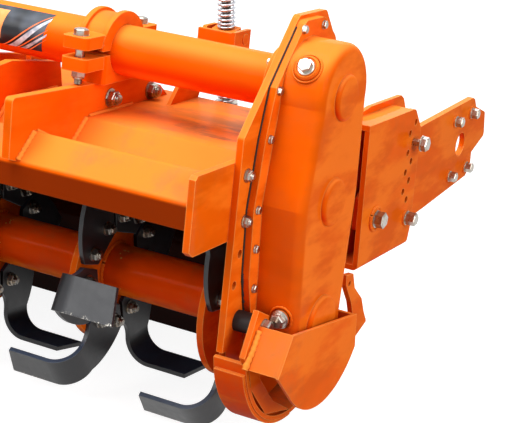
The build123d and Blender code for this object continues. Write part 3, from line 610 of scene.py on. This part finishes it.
def lock_nut(mesh, start, along, size, thread, proud=5, spin=0.1):
    """A nut with its washer, a rounded collar and the end of the bolt's thread."""
    corner = size / 2 / math.cos(math.pi / 6)
    lathe(mesh, start, along, [(corner * 1.16, 0), (corner * 1.16, 2), (corner * 1.05, 2.4)], 24)
    height = thread * 1.45 + 2
    lathe(mesh, start, along, [(corner, 2.2), (corner, height - 1.6), (corner * 0.9, height - 0.2)], 6, spin)
    collar = [(size * 0.455, height - 1), (size * 0.45, height + thread * 0.32),
              (size * 0.42, height + thread * 0.42), (thread * 1.12, height + thread * 0.42)]
    lathe(mesh, start, along, collar, 24)
    end = height + thread * 0.42 + proud
    turns = []
    for k in range(int((end - height + 1) / 0.9)):
        turns += [(thread * 0.93, height - 1 + k * 0.9), (thread, height - 0.55 + k * 0.9)]
    turns.append((thread * 0.82, end))
    lathe(mesh, start, along, turns, 16)


BLADE_T = 8
BLADE_BOLT_CIRCLE = 98
BLADE_BOLT_ANGLES = (3, 34)
BLADE_PHASE = 156.5
BLADE_STEP = 9.5
RIGHT = Vector((1, 0, 0))


def ahead_of_top(x, radius, angle):
    """The place at a radius and an angle, in degrees forwards from straight up, round the rotor's axis."""
    a = math.radians(angle)
    return at(x, -radius * math.sin(a), radius * math.cos(a))


for i, x in enumerate(flange_faces):
    bolts = bmesh.new()
    for k in range(6):
        foot_left = k % 2 == 0
        if (i == 0 and not foot_left) or (i == FLANGES - 1 and foot_left):
            continue
        for bolt in BLADE_BOLT_ANGLES:
            angle = BLADE_PHASE - i * BLADE_STEP + 60 * k + bolt
            seat = x + FLANGE_T + BLADE_T
            lock_nut(bolts, ahead_of_top(seat, BLADE_BOLT_CIRCLE, angle), RIGHT, 19, 6, proud=4, spin=k)
            hex_head(bolts, ahead_of_top(x, BLADE_BOLT_CIRCLE, angle), -RIGHT, 19, 8, spin=k * 2)
    finished(f"blade_bolts_{i + 1}", bolts, "rotor", soiled_zinc)

# --- Side plates ---
# Two flame-cut plates 12 mm thick close the hood's ends and carry the rotor, the gear case and the skids.
# Nuts on their outsides hold the deck's end plates.
SIDE_IN = 943
SIDE_OUT = 955
sheet_enamel = enamel_material("sheet_enamel", ORANGE, 0.34, 0.27, 0.0)
dress(["side_plate_drive", "side_plate_idle", "deck_ends"], sheet_enamel)
END_BOLTS = ((-143, 264), (-136, 188), (20, 250), (150, 250))
ends = bmesh.new()
for side in (-1, 1):
    for y, z in END_BOLTS:
        if side < 0 or y < -100:
            lock_nut(ends, at(side * SIDE_OUT, y, z), RIGHT * side, 17, 5, proud=2, spin=y)
finished("deck_end_nuts", ends, "frame", nut_zinc)

# --- Deck ---
# One folded sheet: a stiff front edge, a groove that catches stones, and a level top back to the hinge. Brown
# dust has dried on its top. The lip under its front fold is painted dark as shade, and its inside is painted
# near black as the shade under the hood.
deck_enamel = enamel_material("deck_enamel", ORANGE, 0.55, 0.3, 0.0)
# painted highlight: weld beads get a lighter orange enamel for the light they catch
highlit_weld = enamel_material("highlit_weld", (1.0, 0.32, 0.045, 1), 0.1, 0.3, 0.3)
# painted shade: the dark colour of the lip under the front fold
LIP_SHADE = (0.20, 0.018, 0.001, 1)
DRIED_DUST = (0.21, 0.10, 0.055, 1)
# painted shade: the near-black colour inside the hood
HOOD_SHADE = (0.055, 0.006, 0.0006, 1)
LIP_FROM = at(0, -284, 240)
TOP_FROM = at(0, -84, 281)


def enamel_copy(original, name):
    """A copy of an enamel to lay soil over: (material, nodes, links, shader, its colour)."""
    material = original.copy()
    material.name = name
    tree = material.node_tree
    paint = tree.nodes["Principled BSDF"]
    return material, tree.nodes, tree.links, paint, paint.inputs["Base Color"].links[0].from_socket


def shaded_inside(nodes, links, normal, axis, coated):
    """Painted shade: a near-black colour over the faces that look to an axis's minus end, for the shade
    inside the hood.
    """
    away = product(nodes, links, parts_of(nodes, links, normal)[axis], -1.0)
    return mix_colors(nodes, links, ramp(nodes, links, away, 0.1, 0.3), coated, HOOD_SHADE)


deck_own, nodes, links, paint, coated = enamel_copy(deck_enamel, "deck_sheet")
dress(["deck"], deck_own)
geometry = nodes.new("ShaderNodeNewGeometry").outputs
spot = parts_of(nodes, links, geometry["Position"])
# painted shade on the lip below the front fold
below = beyond(nodes, links, LIP_FROM.z, spot["Z"], 0.006)
ahead = beyond(nodes, links, LIP_FROM.y + 0.002, spot["Y"], 0.001)
lip_shade_mask = product(nodes, links, product(nodes, links, below, ahead), 0.92)
drift = stretched(nodes, links, (0.45, 1.5, 1))
streaks = ramp(nodes, links, noise(nodes, links, drift, 11, 7, 0.66), 0.44, 0.66)
beside = math_node(nodes, links, "ABSOLUTE", math_node(nodes, links, "SUBTRACT", spot["X"], MIDDLE.x), 0)
beside = math_node(nodes, links, "ADD", ramp(nodes, links, beside, 0.66, 0.93), 0.25, clamp=True)
level = beyond(nodes, links, spot["Z"], TOP_FROM.z, 0.002)
behind = beyond(nodes, links, spot["Y"], TOP_FROM.y, 0.03)
settled = product(nodes, links, product(nodes, links, streaks, beside),
                  product(nodes, links, product(nodes, links, level, behind), 0.85))
dust_and_shade = mix_colors(nodes, links, settled, coated, DRIED_DUST)
# painted shade over the deck's downward faces inside the hood
dust_and_shade = shaded_inside(nodes, links, geometry["True Normal"], "Z", dust_and_shade)
links.new(mix_colors(nodes, links, lip_shade_mask, dust_and_shade, LIP_SHADE), paint.inputs["Base Color"])
paint.inputs["Coat Roughness"].default_value = 0.3

# Where plates stand on the deck, welds follow the sheet's folds on both of their sides.
WELD_RUNS = (((-284, 243), (-241, 283), 5.2), ((-233, 283), (-142, 243), 3.5), ((-133, 243), (-92, 282), 5),
             ((-84, 284), (52, 284), 3.6))
STANDING_PLATES = (601, 618, 366, 382, 442, 458)
deck_welds = bmesh.new()
for side in (-1, 1):
    for k, x in enumerate(STANDING_PLATES):
        for start, end, radius in WELD_RUNS:
            bead(deck_welds, [at(side * x, *start), at(side * x, *end)], radius, seed=k * 2 + side)
finished("deck_welds", deck_welds, "frame", highlit_weld, sharp=80)

# --- Main tubes ---
# Thick-walled tubes run from the gearbox to the side plates, bolted to it by round flanges and welded into
# the plates. They are the machine's backbone.
MAIN_Y = -18
MAIN_Z = 392
MAIN_R = 43
GEARBOX_HALF = 125
tube_enamel = enamel_material("tube_enamel", ORANGE, 0.08, 0.22, 0.0)
dress(["main_tube_drive", "main_tube_idle"], tube_enamel)
tube_bolts = bmesh.new()
for side in (-1, 1):
    for k in range(8):
        a = math.radians(22.5 + 45 * k)
        spot = round_x(side * (GEARBOX_HALF + 16), MAIN_Y, MAIN_Z, 63, a)
        hex_head(tube_bolts, spot, RIGHT * side, 17, 8, spin=a)
    for k in range(6):
        a = math.radians(15 + 60 * k)
        spot = round_x(side * (SIDE_IN - 10), MAIN_Y, MAIN_Z, 52, a)
        hex_head(tube_bolts, spot, -RIGHT * side, 10, 6, spin=a)
finished("tube_flange_bolts", tube_bolts, "frame", nut_zinc)
tube_welds = bmesh.new()
for side in (-1, 1):
    for x, radius in ((GEARBOX_HALF + 17, 3.5), (SIDE_IN - 11, 3)):
        ring = [round_x(side * x, MAIN_Y, MAIN_Z, MAIN_R + 1, math.radians(7.5 * k)) for k in range(48)]
        bead(tube_welds, ring, radius, seed=side + 9, closed=True)
finished("tube_welds", tube_welds, "frame", tube_enamel, sharp=80)

# --- Tube label ---
# A printed film is stuck along the drive side's tube: a smoky black panel with slanted orange bars, and
# orange and silver streaks that sweep up to its end.
LABEL_X = (166, 506)
LABEL_ANGLES = (-34, 66)                           # degrees up from straight ahead, round the tube
FILM = 0.35
SLANT = 12


def on_tube(x, angle, lift):
    """A place above the tube's skin, at an angle up from straight ahead."""
    a = math.radians(angle)
    return at(x, MAIN_Y - (MAIN_R + lift) * math.cos(a), MAIN_Z + (MAIN_R + lift) * math.sin(a))


def printed_strip(mesh, low_edge, high_edge, lift, steps=24, around=4):
    """A strip on the tube between two edges, each a function from 0..1 to (x, angle)."""
    rows = []
    for k in range(steps + 1):
        t = k / steps
        (x0, a0), (x1, a1) = low_edge(t), high_edge(t)
        rows.append([mesh.verts.new(on_tube(x0 + (x1 - x0) * c / around, a0 + (a1 - a0) * c / around, lift))
                     for c in range(around + 1)])
    for one, two in zip(rows, rows[1:]):
        for c in range(around):
            mesh.faces.new((one[c], one[c + 1], two[c + 1], two[c]))


def print_material(name, first, second, scale):
    """Glossy printed film that drifts between two colours."""
    material, nodes, links, ink = new_material(name)
    drift = ramp(nodes, links, noise(nodes, links, own_place(nodes), scale, 2), 0.35, 0.65)
    links.new(mix_colors(nodes, links, drift, first, second), ink.inputs["Base Color"])
    ink.inputs["Roughness"].default_value = 0.3
    ink.inputs["Specular IOR Level"].default_value = 0.3
    return material


smoky_film = print_material("smoky_film", (0.012, 0.014, 0.018, 1), (0.07, 0.085, 0.11, 1), 16)
orange_ink = print_material("orange_ink", (0.95, 0.33, 0.08, 1), (1.0, 0.42, 0.14, 1), 30)
streak_ink = print_material("streak_ink", (0.90, 0.16, 0.03, 1), (0.98, 0.30, 0.10, 1), 40)
silver_ink = print_material("silver_ink", (0.30, 0.34, 0.42, 1), (0.80, 0.82, 0.86, 1), 45)
x0, x1 = LABEL_X
a0, a1 = LABEL_ANGLES
panel = bmesh.new()
printed_strip(panel, lambda t: (x0 + (x1 - x0 - SLANT) * t, a0), lambda t: (x0 + (x1 - x0) * t, a1),
              FILM, 60, 30)
finished("label_panel", panel, "frame", smoky_film)


def sweep(start, rise, thickness, reach=1.0):
    """Edges of a streak that starts at the label's bottom and curves up to its end, tapering."""
    def edge(grow):
        def place(t):
            t = t * reach
            x = start + (x1 - SLANT * (1 - t) - start) * t + grow * thickness * (1 - 0.55 * t)
            return min(x, x1 - SLANT * (1 - t)), a0 + (rise - a0) * t ** 1.25
        return place
    return edge(0), edge(1)


streaks = bmesh.new()
for start, rise, thickness in ((x1 - 96, a1 - 6, 5), (x1 - 66, a1 - 44, 4.5), (x1 - 40, a1 - 66, 4)):
    printed_strip(streaks, *sweep(start, rise, thickness), FILM + 0.25)
finished("label_streaks", streaks, "frame", streak_ink)
silver = bmesh.new()
for start, rise, thickness in ((x1 - 84, a1 - 14, 17), (x1 - 57, a1 - 54, 12)):
    printed_strip(silver, *sweep(start, rise, thickness), FILM + 0.15)
finished("label_silver", silver, "frame", silver_ink)
bars = bmesh.new()
for k in range(5):
    left = x1 - 128 - 44 * k
    printed_strip(bars, lambda t: (left + 30 * t, a0 + 14), lambda t: (left + 9 + 30 * t, a1 - 14),
                  FILM + 0.2, around=24)
finished("label_bars", bars, "frame", orange_ink)

# --- Gearbox and input shaft ---
# A cast box on the tubes turns the drive by bevel gears. It is painted over its rough casting, and a
# splined steel shaft comes out of its nose for the tractor's drive shaft.
cast_enamel = enamel_material("cast_enamel", ORANGE, 0.25, 0.33, 0.5, edge=0.003, depth=0.0008)
dress(["gearbox"], cast_enamel)
UP = Vector((0, 0, 1))
BACK = Vector((0, 1, 0))
gearbox_bolts = bmesh.new()
for x in (-68, 0, 68):
    for z in (MAIN_Z - 72, MAIN_Z + 68):
        hex_head(gearbox_bolts, at(x, MAIN_Y + 176, z), BACK, 13, 7, spin=x)
for k in range(6):
    a = math.radians(30 + 60 * k)
    spot = at(66 * math.cos(a), MAIN_Y - 175, MAIN_Z + 66 * math.sin(a))
    hex_head(gearbox_bolts, spot, -BACK, 10, 6, spin=a)
for x in (-62, 62):
    for y in (MAIN_Y - 72, MAIN_Y + 88):
        hex_head(gearbox_bolts, at(x, y, MAIN_Z + 120), UP, 19, 10, spin=x)
finished("gearbox_bolts", gearbox_bolts, "frame", nut_zinc)

machined = zinc_material("machined_steel", (0.56, 0.55, 0.53, 1), 0.25, grain=0)
dress(["input_shaft"], machined)

SPLINES = 6
shaft_low, shaft_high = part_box("input_shaft")
shaft_centre = (shaft_low + shaft_high) / 2
shaft_r = (shaft_high.x - shaft_low.x) / 2 / MM
shaft_length = (shaft_high.y - shaft_low.y) / MM
ROUND_STEPS = 8


def spline_section(outer, root):
    """Radius and angle pairs round a splined shaft."""
    section = []
    for tooth in range(SPLINES):
        for k in range(ROUND_STEPS):
            share = k / ROUND_STEPS
            radius = outer if share < 0.5 else root
            section.append((radius, 2 * math.pi * (tooth + share) / SPLINES))
    return section


shaft = bmesh.new()
profile = [(0.86, -shaft_length / 2), (1.0, -shaft_length / 2 + 3), (1.0, -12), (0.93, -10), (0.93, -4),
           (1.0, -2), (1.0, 10)]
rings = []
for share, y in profile:
    ring = []
    for radius, angle in spline_section(shaft_r * share, shaft_r * share * 0.86):
        spot = Vector((radius * math.cos(angle), y, radius * math.sin(angle))) * MM
        ring.append(shaft.verts.new(shaft_centre + spot))
    rings.append(ring)
skin_rings(shaft, rings)
plain_end = Vector((shaft_centre.x, shaft_centre.y + 10 * MM, shaft_centre.z))
lathe(shaft, plain_end, Vector((0, 1, 0)), [(shaft_r, 0), (shaft_r, shaft_length / 2 - 10)], 32)
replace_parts(finished("splined_shaft", shaft, "input_shaft", machined), "input_shaft")

# --- Gear case ---
# A long iron casting, bolted and sealed to the side plate round its rim, carries the drive down to the
# rotor. It has round bosses over its gears, a zinc filler plug in its round top and a drain plug below.
dress(["gear_case"], cast_enamel)
RIM_OUT = 969
RIM_BOLTS = ((-24, 484), (47, 484), (-89.5, 394), (-104, 318), (-122, 206), (-116, 140), (-108, 71))
rim_bolts = bmesh.new()
for y, z in RIM_BOLTS:
    hex_head(rim_bolts, at(RIM_OUT, y, z), RIGHT, 12, 6, spin=z)
finished("case_rim_bolts", rim_bolts, "frame", nut_zinc)
CASE_TOP = (4, 384)
CASE_TOP_R = 86
FILLER = (1003, 56)                                # its place along X, and its angle forwards from the top
DRAIN = (1016, -90, 28)
DRAIN_ANGLE = 95.5
PLUG_BOSS = 6
RING_STEP = 0.13


def round_plug(centre, along, radius):
    """Points round a plug for a closed bead, radius in millimetres."""
    across, up = side_directions(along)
    turns = [RING_STEP * k for k in range(48)]
    return [centre + (across * math.cos(a) + up * math.sin(a)) * radius * MM for a in turns]


def forwards_from_up(angle):
    """The direction at an angle forwards from straight up."""
    a = math.radians(angle)
    return Vector((0, -math.sin(a), math.cos(a)))


out = forwards_from_up(FILLER[1])
filler_seat = at(FILLER[0], *CASE_TOP) + out * (CASE_TOP_R + PLUG_BOSS) * MM
filler = bmesh.new()
lathe(filler, filler_seat, out, [(14, 0), (14, 2), (13, 2.8)], 40)
lathe(filler, filler_seat, out, [(11.6, 2.4), (11.6, 11), (10.2, 12.4)], 6, 0.5)
lathe(filler, filler_seat, out, [(9.6, 11.2), (9, 12.8)], 32)
finished("filler_plug", filler, "frame", bright_zinc)
filler_ring = bmesh.new()
for radius, height in ((17.6, 0), (23.5, -5)):
    bead(filler_ring, round_plug(filler_seat + out * height * MM, out, radius), 1.6, seed=3, closed=True)
finished("filler_ring", filler_ring, "frame", cast_enamel, sharp=80)
drain_out = forwards_from_up(DRAIN_ANGLE)
drain = bmesh.new()
drain_seat = at(*DRAIN) + drain_out * PLUG_BOSS * MM
lathe(drain, drain_seat, drain_out, [(15.5, 0), (15.5, 2), (14.8, 2.6)], 32)
hex_head(drain, drain_seat + drain_out * 2.4 * MM, drain_out, 22, 12, spin=0.2)
finished("drain_plug", drain, "frame", bright_zinc)
drain_ring = bmesh.new()
bead(drain_ring, round_plug(at(*DRAIN) + drain_out * 1.5 * MM, drain_out, 19), 2.4, seed=12, closed=True)
finished("drain_ring", drain_ring, "frame", cast_enamel, sharp=80)

rubber, nodes, links, paint = new_material("black_rubber")
paint.inputs["Base Color"].default_value = (0.014, 0.011, 0.010, 1)
paint.inputs["Specular IOR Level"].default_value = 0.25
ring_marks = noise(nodes, links, own_place(nodes), 160, 5)
worn = math_node(nodes, links, "ADD", product(nodes, links, ring_marks, 0.3), 0.35)
links.new(worn, paint.inputs["Roughness"])
add_bump(nodes, links, paint, ring_marks, 0.3, 0.0004)
RIM_FRONT = ((-102.5, 6), (-126.5, 90), (-134.5, 206), (-118.5, 318), (-98.6, 399), (-26, 486))
seal = bmesh.new()
bead(seal, [at(SIDE_OUT + 1.0, y, z) for y, z in RIM_FRONT], 1.5, seed=5)
lumps = random.Random(4)
(y0, z0), (y1, z1) = RIM_FRONT[:2]
for k in range(16):
    t = lumps.random()
    spot = at(SIDE_OUT + 1.6, y0 + (y1 - y0) * t, z0 + (z1 - z0) * t)
    above = spot + Vector((0, -0.0004, 0.004 + 0.012 * lumps.random()))
    bead(seal, [spot, above], lumps.uniform(1.6, 2.6), seed=k)
finished("case_seal", seal, "frame", rubber, sharp=80)

# --- Case guard ---
# A bent steel plate shields the bottom of the case from stones. It is welded to the drive side's skid, and
# its enamel is scuffed and dusty like the skid's.
skid_enamel = enamel_material("skid_enamel", ORANGE, 0.6, 0.26, 0.0)
dress(["case_guard"], skid_enamel)

# --- Skids ---
# Curved soles under both ends set the working depth. Each hangs on a bolt through a black rubber spacer in
# front and in a strap behind. A weld joins its guard to it, its enamel painted lighter as a highlight. The
# idle side's bolt head is flat.
dress(["skid_drive", "skid_idle"], skid_enamel)
dress(["skid_spacers"], rubber)
SKID_BOLT = (-125, 18)
SKID_OUT = 1003
IDLE_LIMIT = 1008
SOLE_WELD_R = 166.5
skid_bolts = bmesh.new()
for side in (-1, 1):
    head = 13 if side > 0 else IDLE_LIMIT - SKID_OUT
    hex_head(skid_bolts, at(side * SKID_OUT, *SKID_BOLT), RIGHT * side, 24, head, spin=0.5)
finished("skid_bolts", skid_bolts, "frame", nut_zinc)
guard_weld = bmesh.new()
bead(guard_weld, [at(1006, -146, 19), at(1007, -163, -8), at(1006, -183, -37)], 5.6, seed=8)
finished("guard_weld", guard_weld, "frame", highlit_weld, sharp=80)
sole_welds = bmesh.new()
for side in (-1, 1):
    line = [ahead_of_top(side * 992, SOLE_WELD_R, a) for a in range(106, 182, 4)]
    bead(sole_welds, line, 3.5, seed=side + 4)
finished("sole_welds", sole_welds, "frame", skid_enamel, sharp=80)

# --- Idle side ---
# A round cast iron bearing housing carries the rotor's other end, bolted to the side plate. Above it a cast
# cover is bolted over the main tube's end.
dress(["bearing_housing_idle", "shaft_cover_idle"], cast_enamel)
HOUSING_OUT = 969
COVER_OUT = 965
idle_bolts = bmesh.new()
for k in range(6):
    a = math.radians(60 * k)
    hex_head(idle_bolts, round_x(-HOUSING_OUT, 0, 0, 65, a), -RIGHT, 13, 7, spin=a)
    hex_head(idle_bolts, round_x(-COVER_OUT, MAIN_Y, MAIN_Z, 53, a), -RIGHT, 10, 6, spin=a)
finished("idle_bolts", idle_bolts, "frame", nut_zinc)

# --- Tube clamps ---
# Cast caps with raised rims clamp the main tubes down on their saddles with long bolts. A thick plate
# welded along the deck carries each saddle, whose leg is bolted to it.
dress(["clamp_caps", "clamp_base_drive", "clamp_base_idle"], cast_enamel)
dress(["clamp_plate_drive", "clamp_plate_idle"], sheet_enamel)
CLAMP_X = 608
CLAMP_BOLT_Y = (MAIN_Y - 92, MAIN_Y + 92)
LUG_TOP = 423
LUG_BOTTOM = 365
CLAMP_PLATE_OUT = 617
CLAMP_NUTS = ((-21, 306), (110, 300))
clamp_bolts = bmesh.new()
for side in (-1, 1):
    for y in CLAMP_BOLT_Y:
        hex_head(clamp_bolts, at(side * CLAMP_X, y, LUG_TOP), UP, 22, 11, spin=0.4)
        lathe(clamp_bolts, at(side * CLAMP_X, y, LUG_BOTTOM - 4), UP, [(8, 0), (8, LUG_TOP - LUG_BOTTOM)], 20)
        lock_nut(clamp_bolts, at(side * CLAMP_X, y, LUG_BOTTOM), -UP, 22, 7, proud=9)
    for y, z in CLAMP_NUTS:
        lock_nut(clamp_bolts, at(side * CLAMP_PLATE_OUT, y, z), RIGHT * side, 24, 8, proud=4, spin=y)
finished("clamp_bolts", clamp_bolts, "frame", nut_zinc)

# --- Hitch ---
# Two pairs of ears take the tractor's lower links, and a mast over the gearbox takes the top link. Flat
# braces run from the mast down to the deck.
dress(["hitch_ears_drive", "hitch_ears_idle", "mast", "mast_braces"], sheet_enamel)
MAST_FOOT_Z = 513
BRACE_FOOT = (330, 168, 295)
BRACE_BOLT_REACH = ((-17, 17), (-24, 24))
mast_welds = bmesh.new()
for side in (-1, 1):
    for x in (27, 41):
        line = [at(side * x, MAIN_Y - 84, MAST_FOOT_Z), at(side * x, 80, MAST_FOOT_Z)]
        bead(mast_welds, line, 3.6, seed=x * side)
finished("mast_welds", mast_welds, "frame", sheet_enamel, sharp=80)
brace_bolts = bmesh.new()
for side in (-1, 1):
    hex_head(brace_bolts, at(side * 60, -24, 590), RIGHT * side, 19, 9)
    foot_x, foot_y, foot_z = BRACE_FOOT
    for reach_x in BRACE_BOLT_REACH[0]:
        for reach_y in BRACE_BOLT_REACH[1]:
            y = foot_y + reach_y
            hex_head(brace_bolts, at(side * (foot_x + reach_x), y, foot_z), UP, 13, 7, spin=y)
finished("brace_bolts", brace_bolts, "frame", nut_zinc)

# --- Trailing board ---
# A steel sheet hinged along the deck's rear edge levels the soil. Its zinc rod runs through lugs the whole
# width, and its inside is painted near black as the shade under the hood.
dress(["board_clevises"], deck_enamel)
board_enamel, nodes, links, paint, coated = enamel_copy(deck_enamel, "board_sheet")
dress(["trailing_board"], board_enamel)
normal = nodes.new("ShaderNodeTexCoord").outputs["Normal"]
# painted shade over the board's inside, facing the rotor
links.new(shaded_inside(nodes, links, normal, "Y", coated), paint.inputs["Base Color"])
dress(["board_hinge_rod"], soiled_zinc)

# --- Board springs ---
# Two zinc rods hold the board down through coil springs wound of round wire, above and below a swivelling
# block. Rusty lock nuts on each rod's thread set how hard the springs press.
dress(["spring_rod_drive", "spring_rod_idle"], soiled_zinc)
dress(["trunnions", "spring_bracket_drive", "spring_bracket_idle"], sheet_enamel)
ROD_X = 697
CLEVIS = (292, 60)
TRUNNION = (228, 398)
TRUNNION_HALF = 15
UPPER_SPRING = 78
LOWER_SPRING = 112
SPRING_R = 14.2
WIRE_R = 2.6
WIRE_SIDES = 8
TURN_STEPS = 18
rod_up = Vector((0, TRUNNION[0] - CLEVIS[0], TRUNNION[1] - CLEVIS[1])).normalized()


def coil_spring(mesh, start, length, turns):
    """A helix of round wire along the rod, closed up at both ends."""
    across, up = side_directions(rod_up)
    usable = length - 2 * WIRE_R
    steps = turns * TURN_STEPS
    rings = []
    for k in range(steps + 1):
        t = k / steps
        squeezed = t - 0.035 * math.sin(2 * math.pi * t)
        a = 2 * math.pi * turns * t
        radial = across * math.cos(a) + up * math.sin(a)
        centre = start + rod_up * (WIRE_R + usable * squeezed) * MM + radial * SPRING_R * MM
        rings.append(ring_of(mesh, centre, radial, rod_up, WIRE_R * MM, WIRE_SIDES))
    skin_rings(mesh, rings)


spring_zinc = zinc_material("spring_zinc", (0.66, 0.68, 0.73, 1), 0.25)
rusty = zinc_material("rusty_nut", (0.33, 0.16, 0.08, 1), 0.8)
upper = bmesh.new()
for side in (-1, 1):
    coil_spring(upper, at(side * ROD_X, *TRUNNION) + rod_up * TRUNNION_HALF * MM, UPPER_SPRING, 9)
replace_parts(finished("upper_coils", upper, "trunnions", spring_zinc, sharp=80), "upper_springs")
for side, word in ((1, "drive"), (-1, "idle")):
    lower = bmesh.new()
    foot = at(side * ROD_X, *TRUNNION) - rod_up * (TRUNNION_HALF + LOWER_SPRING) * MM
    coil_spring(lower, foot, LOWER_SPRING, 12)
    coil = finished(f"lower_coil_{word}", lower, "trunnions", spring_zinc, sharp=80)
    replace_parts(coil, f"lower_spring_{word}")
    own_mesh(coil)
rod_nuts = bmesh.new()
for side in (-1, 1):
    top = at(side * ROD_X, *TRUNNION) + rod_up * (TRUNNION_HALF + UPPER_SPRING + 4) * MM
    lathe(rod_nuts, top, rod_up, [(14, 0), (14, 9), (12.4, 10.4)], 6, 0.3)
    lathe(rod_nuts, top + rod_up * 11 * MM, rod_up, [(14, 0), (14, 8), (12.4, 9.4)], 6, 0.9)
finished("rod_nuts", rod_nuts, "spring_rods", rusty)

# --- Rear arms ---
# A folded bracket on each side plate carries a flame-cut arm for a packer roller. The arm turns on a big
# bolt in a welded collar, rests on a stop bolt, and a long pin in one of the holes sets its height.
dress(["arm_bracket_drive", "arm_bracket_idle", "roller_arm_drive", "roller_arm_idle"], sheet_enamel)
dress(["arm_bolts_drive", "arm_bolts_idle"], sheet_enamel)
BRACKET_OUT = 1005
ARM_OUT = 985
ARM_IN = 973
PIVOT = (276, 114)
STOP_BOLT = (424, 84)
HEIGHT_PIN = (418, 231)
ARM_BOLTS = ((766, 227), (682, 223), (772, 113), (684, 110))
arm_fasteners = bmesh.new()
collars = bmesh.new()
for side in (-1, 1):
    out = RIGHT * side
    if side > 0:
        hex_head(arm_fasteners, at(BRACKET_OUT + 3, *PIVOT), out, 26, 18, spin=0.35)
        hex_head(arm_fasteners, at(BRACKET_OUT + 3, *STOP_BOLT), out, 22, 20, spin=0.2)
        lathe(arm_fasteners, at(BRACKET_OUT - 6, *HEIGHT_PIN), out, [(6.2, 0), (6.2, 26)], 20)
        hex_head(arm_fasteners, at(BRACKET_OUT + 16, *HEIGHT_PIN), out, 24, 13, spin=0.1)
    else:
        for place, radius in ((PIVOT, 14), (STOP_BOLT, 12), (HEIGHT_PIN, 11)):
            flat_head = [(radius, 0), (radius - 1, 2), (0.5, 2.8)]
            lathe(arm_fasteners, at(-BRACKET_OUT, *place), out, flat_head, 28)
    for k, (y, z) in enumerate(ARM_BOLTS):
        hex_head(arm_fasteners, at(side * (ARM_OUT + 2), y, z), out, 18, 15, spin=0.2 + k)
        lathe(collars, at(side * ARM_OUT, y, z), out, [(13, 0), (13, 2), (12.4, 2.4)], 28)
        lock_nut(arm_fasteners, at(side * ARM_IN, y, z), -out, 17, 5, proud=3)
    ring = [round_x(side * (BRACKET_OUT + side), *PIVOT, 21, 0.131 * k) for k in range(48)]
    bead(collars, ring, 3.4, seed=6, closed=True)
finished("arm_fasteners", arm_fasteners, "frame", nut_zinc)
finished("arm_collars", collars, "frame", sheet_enamel)
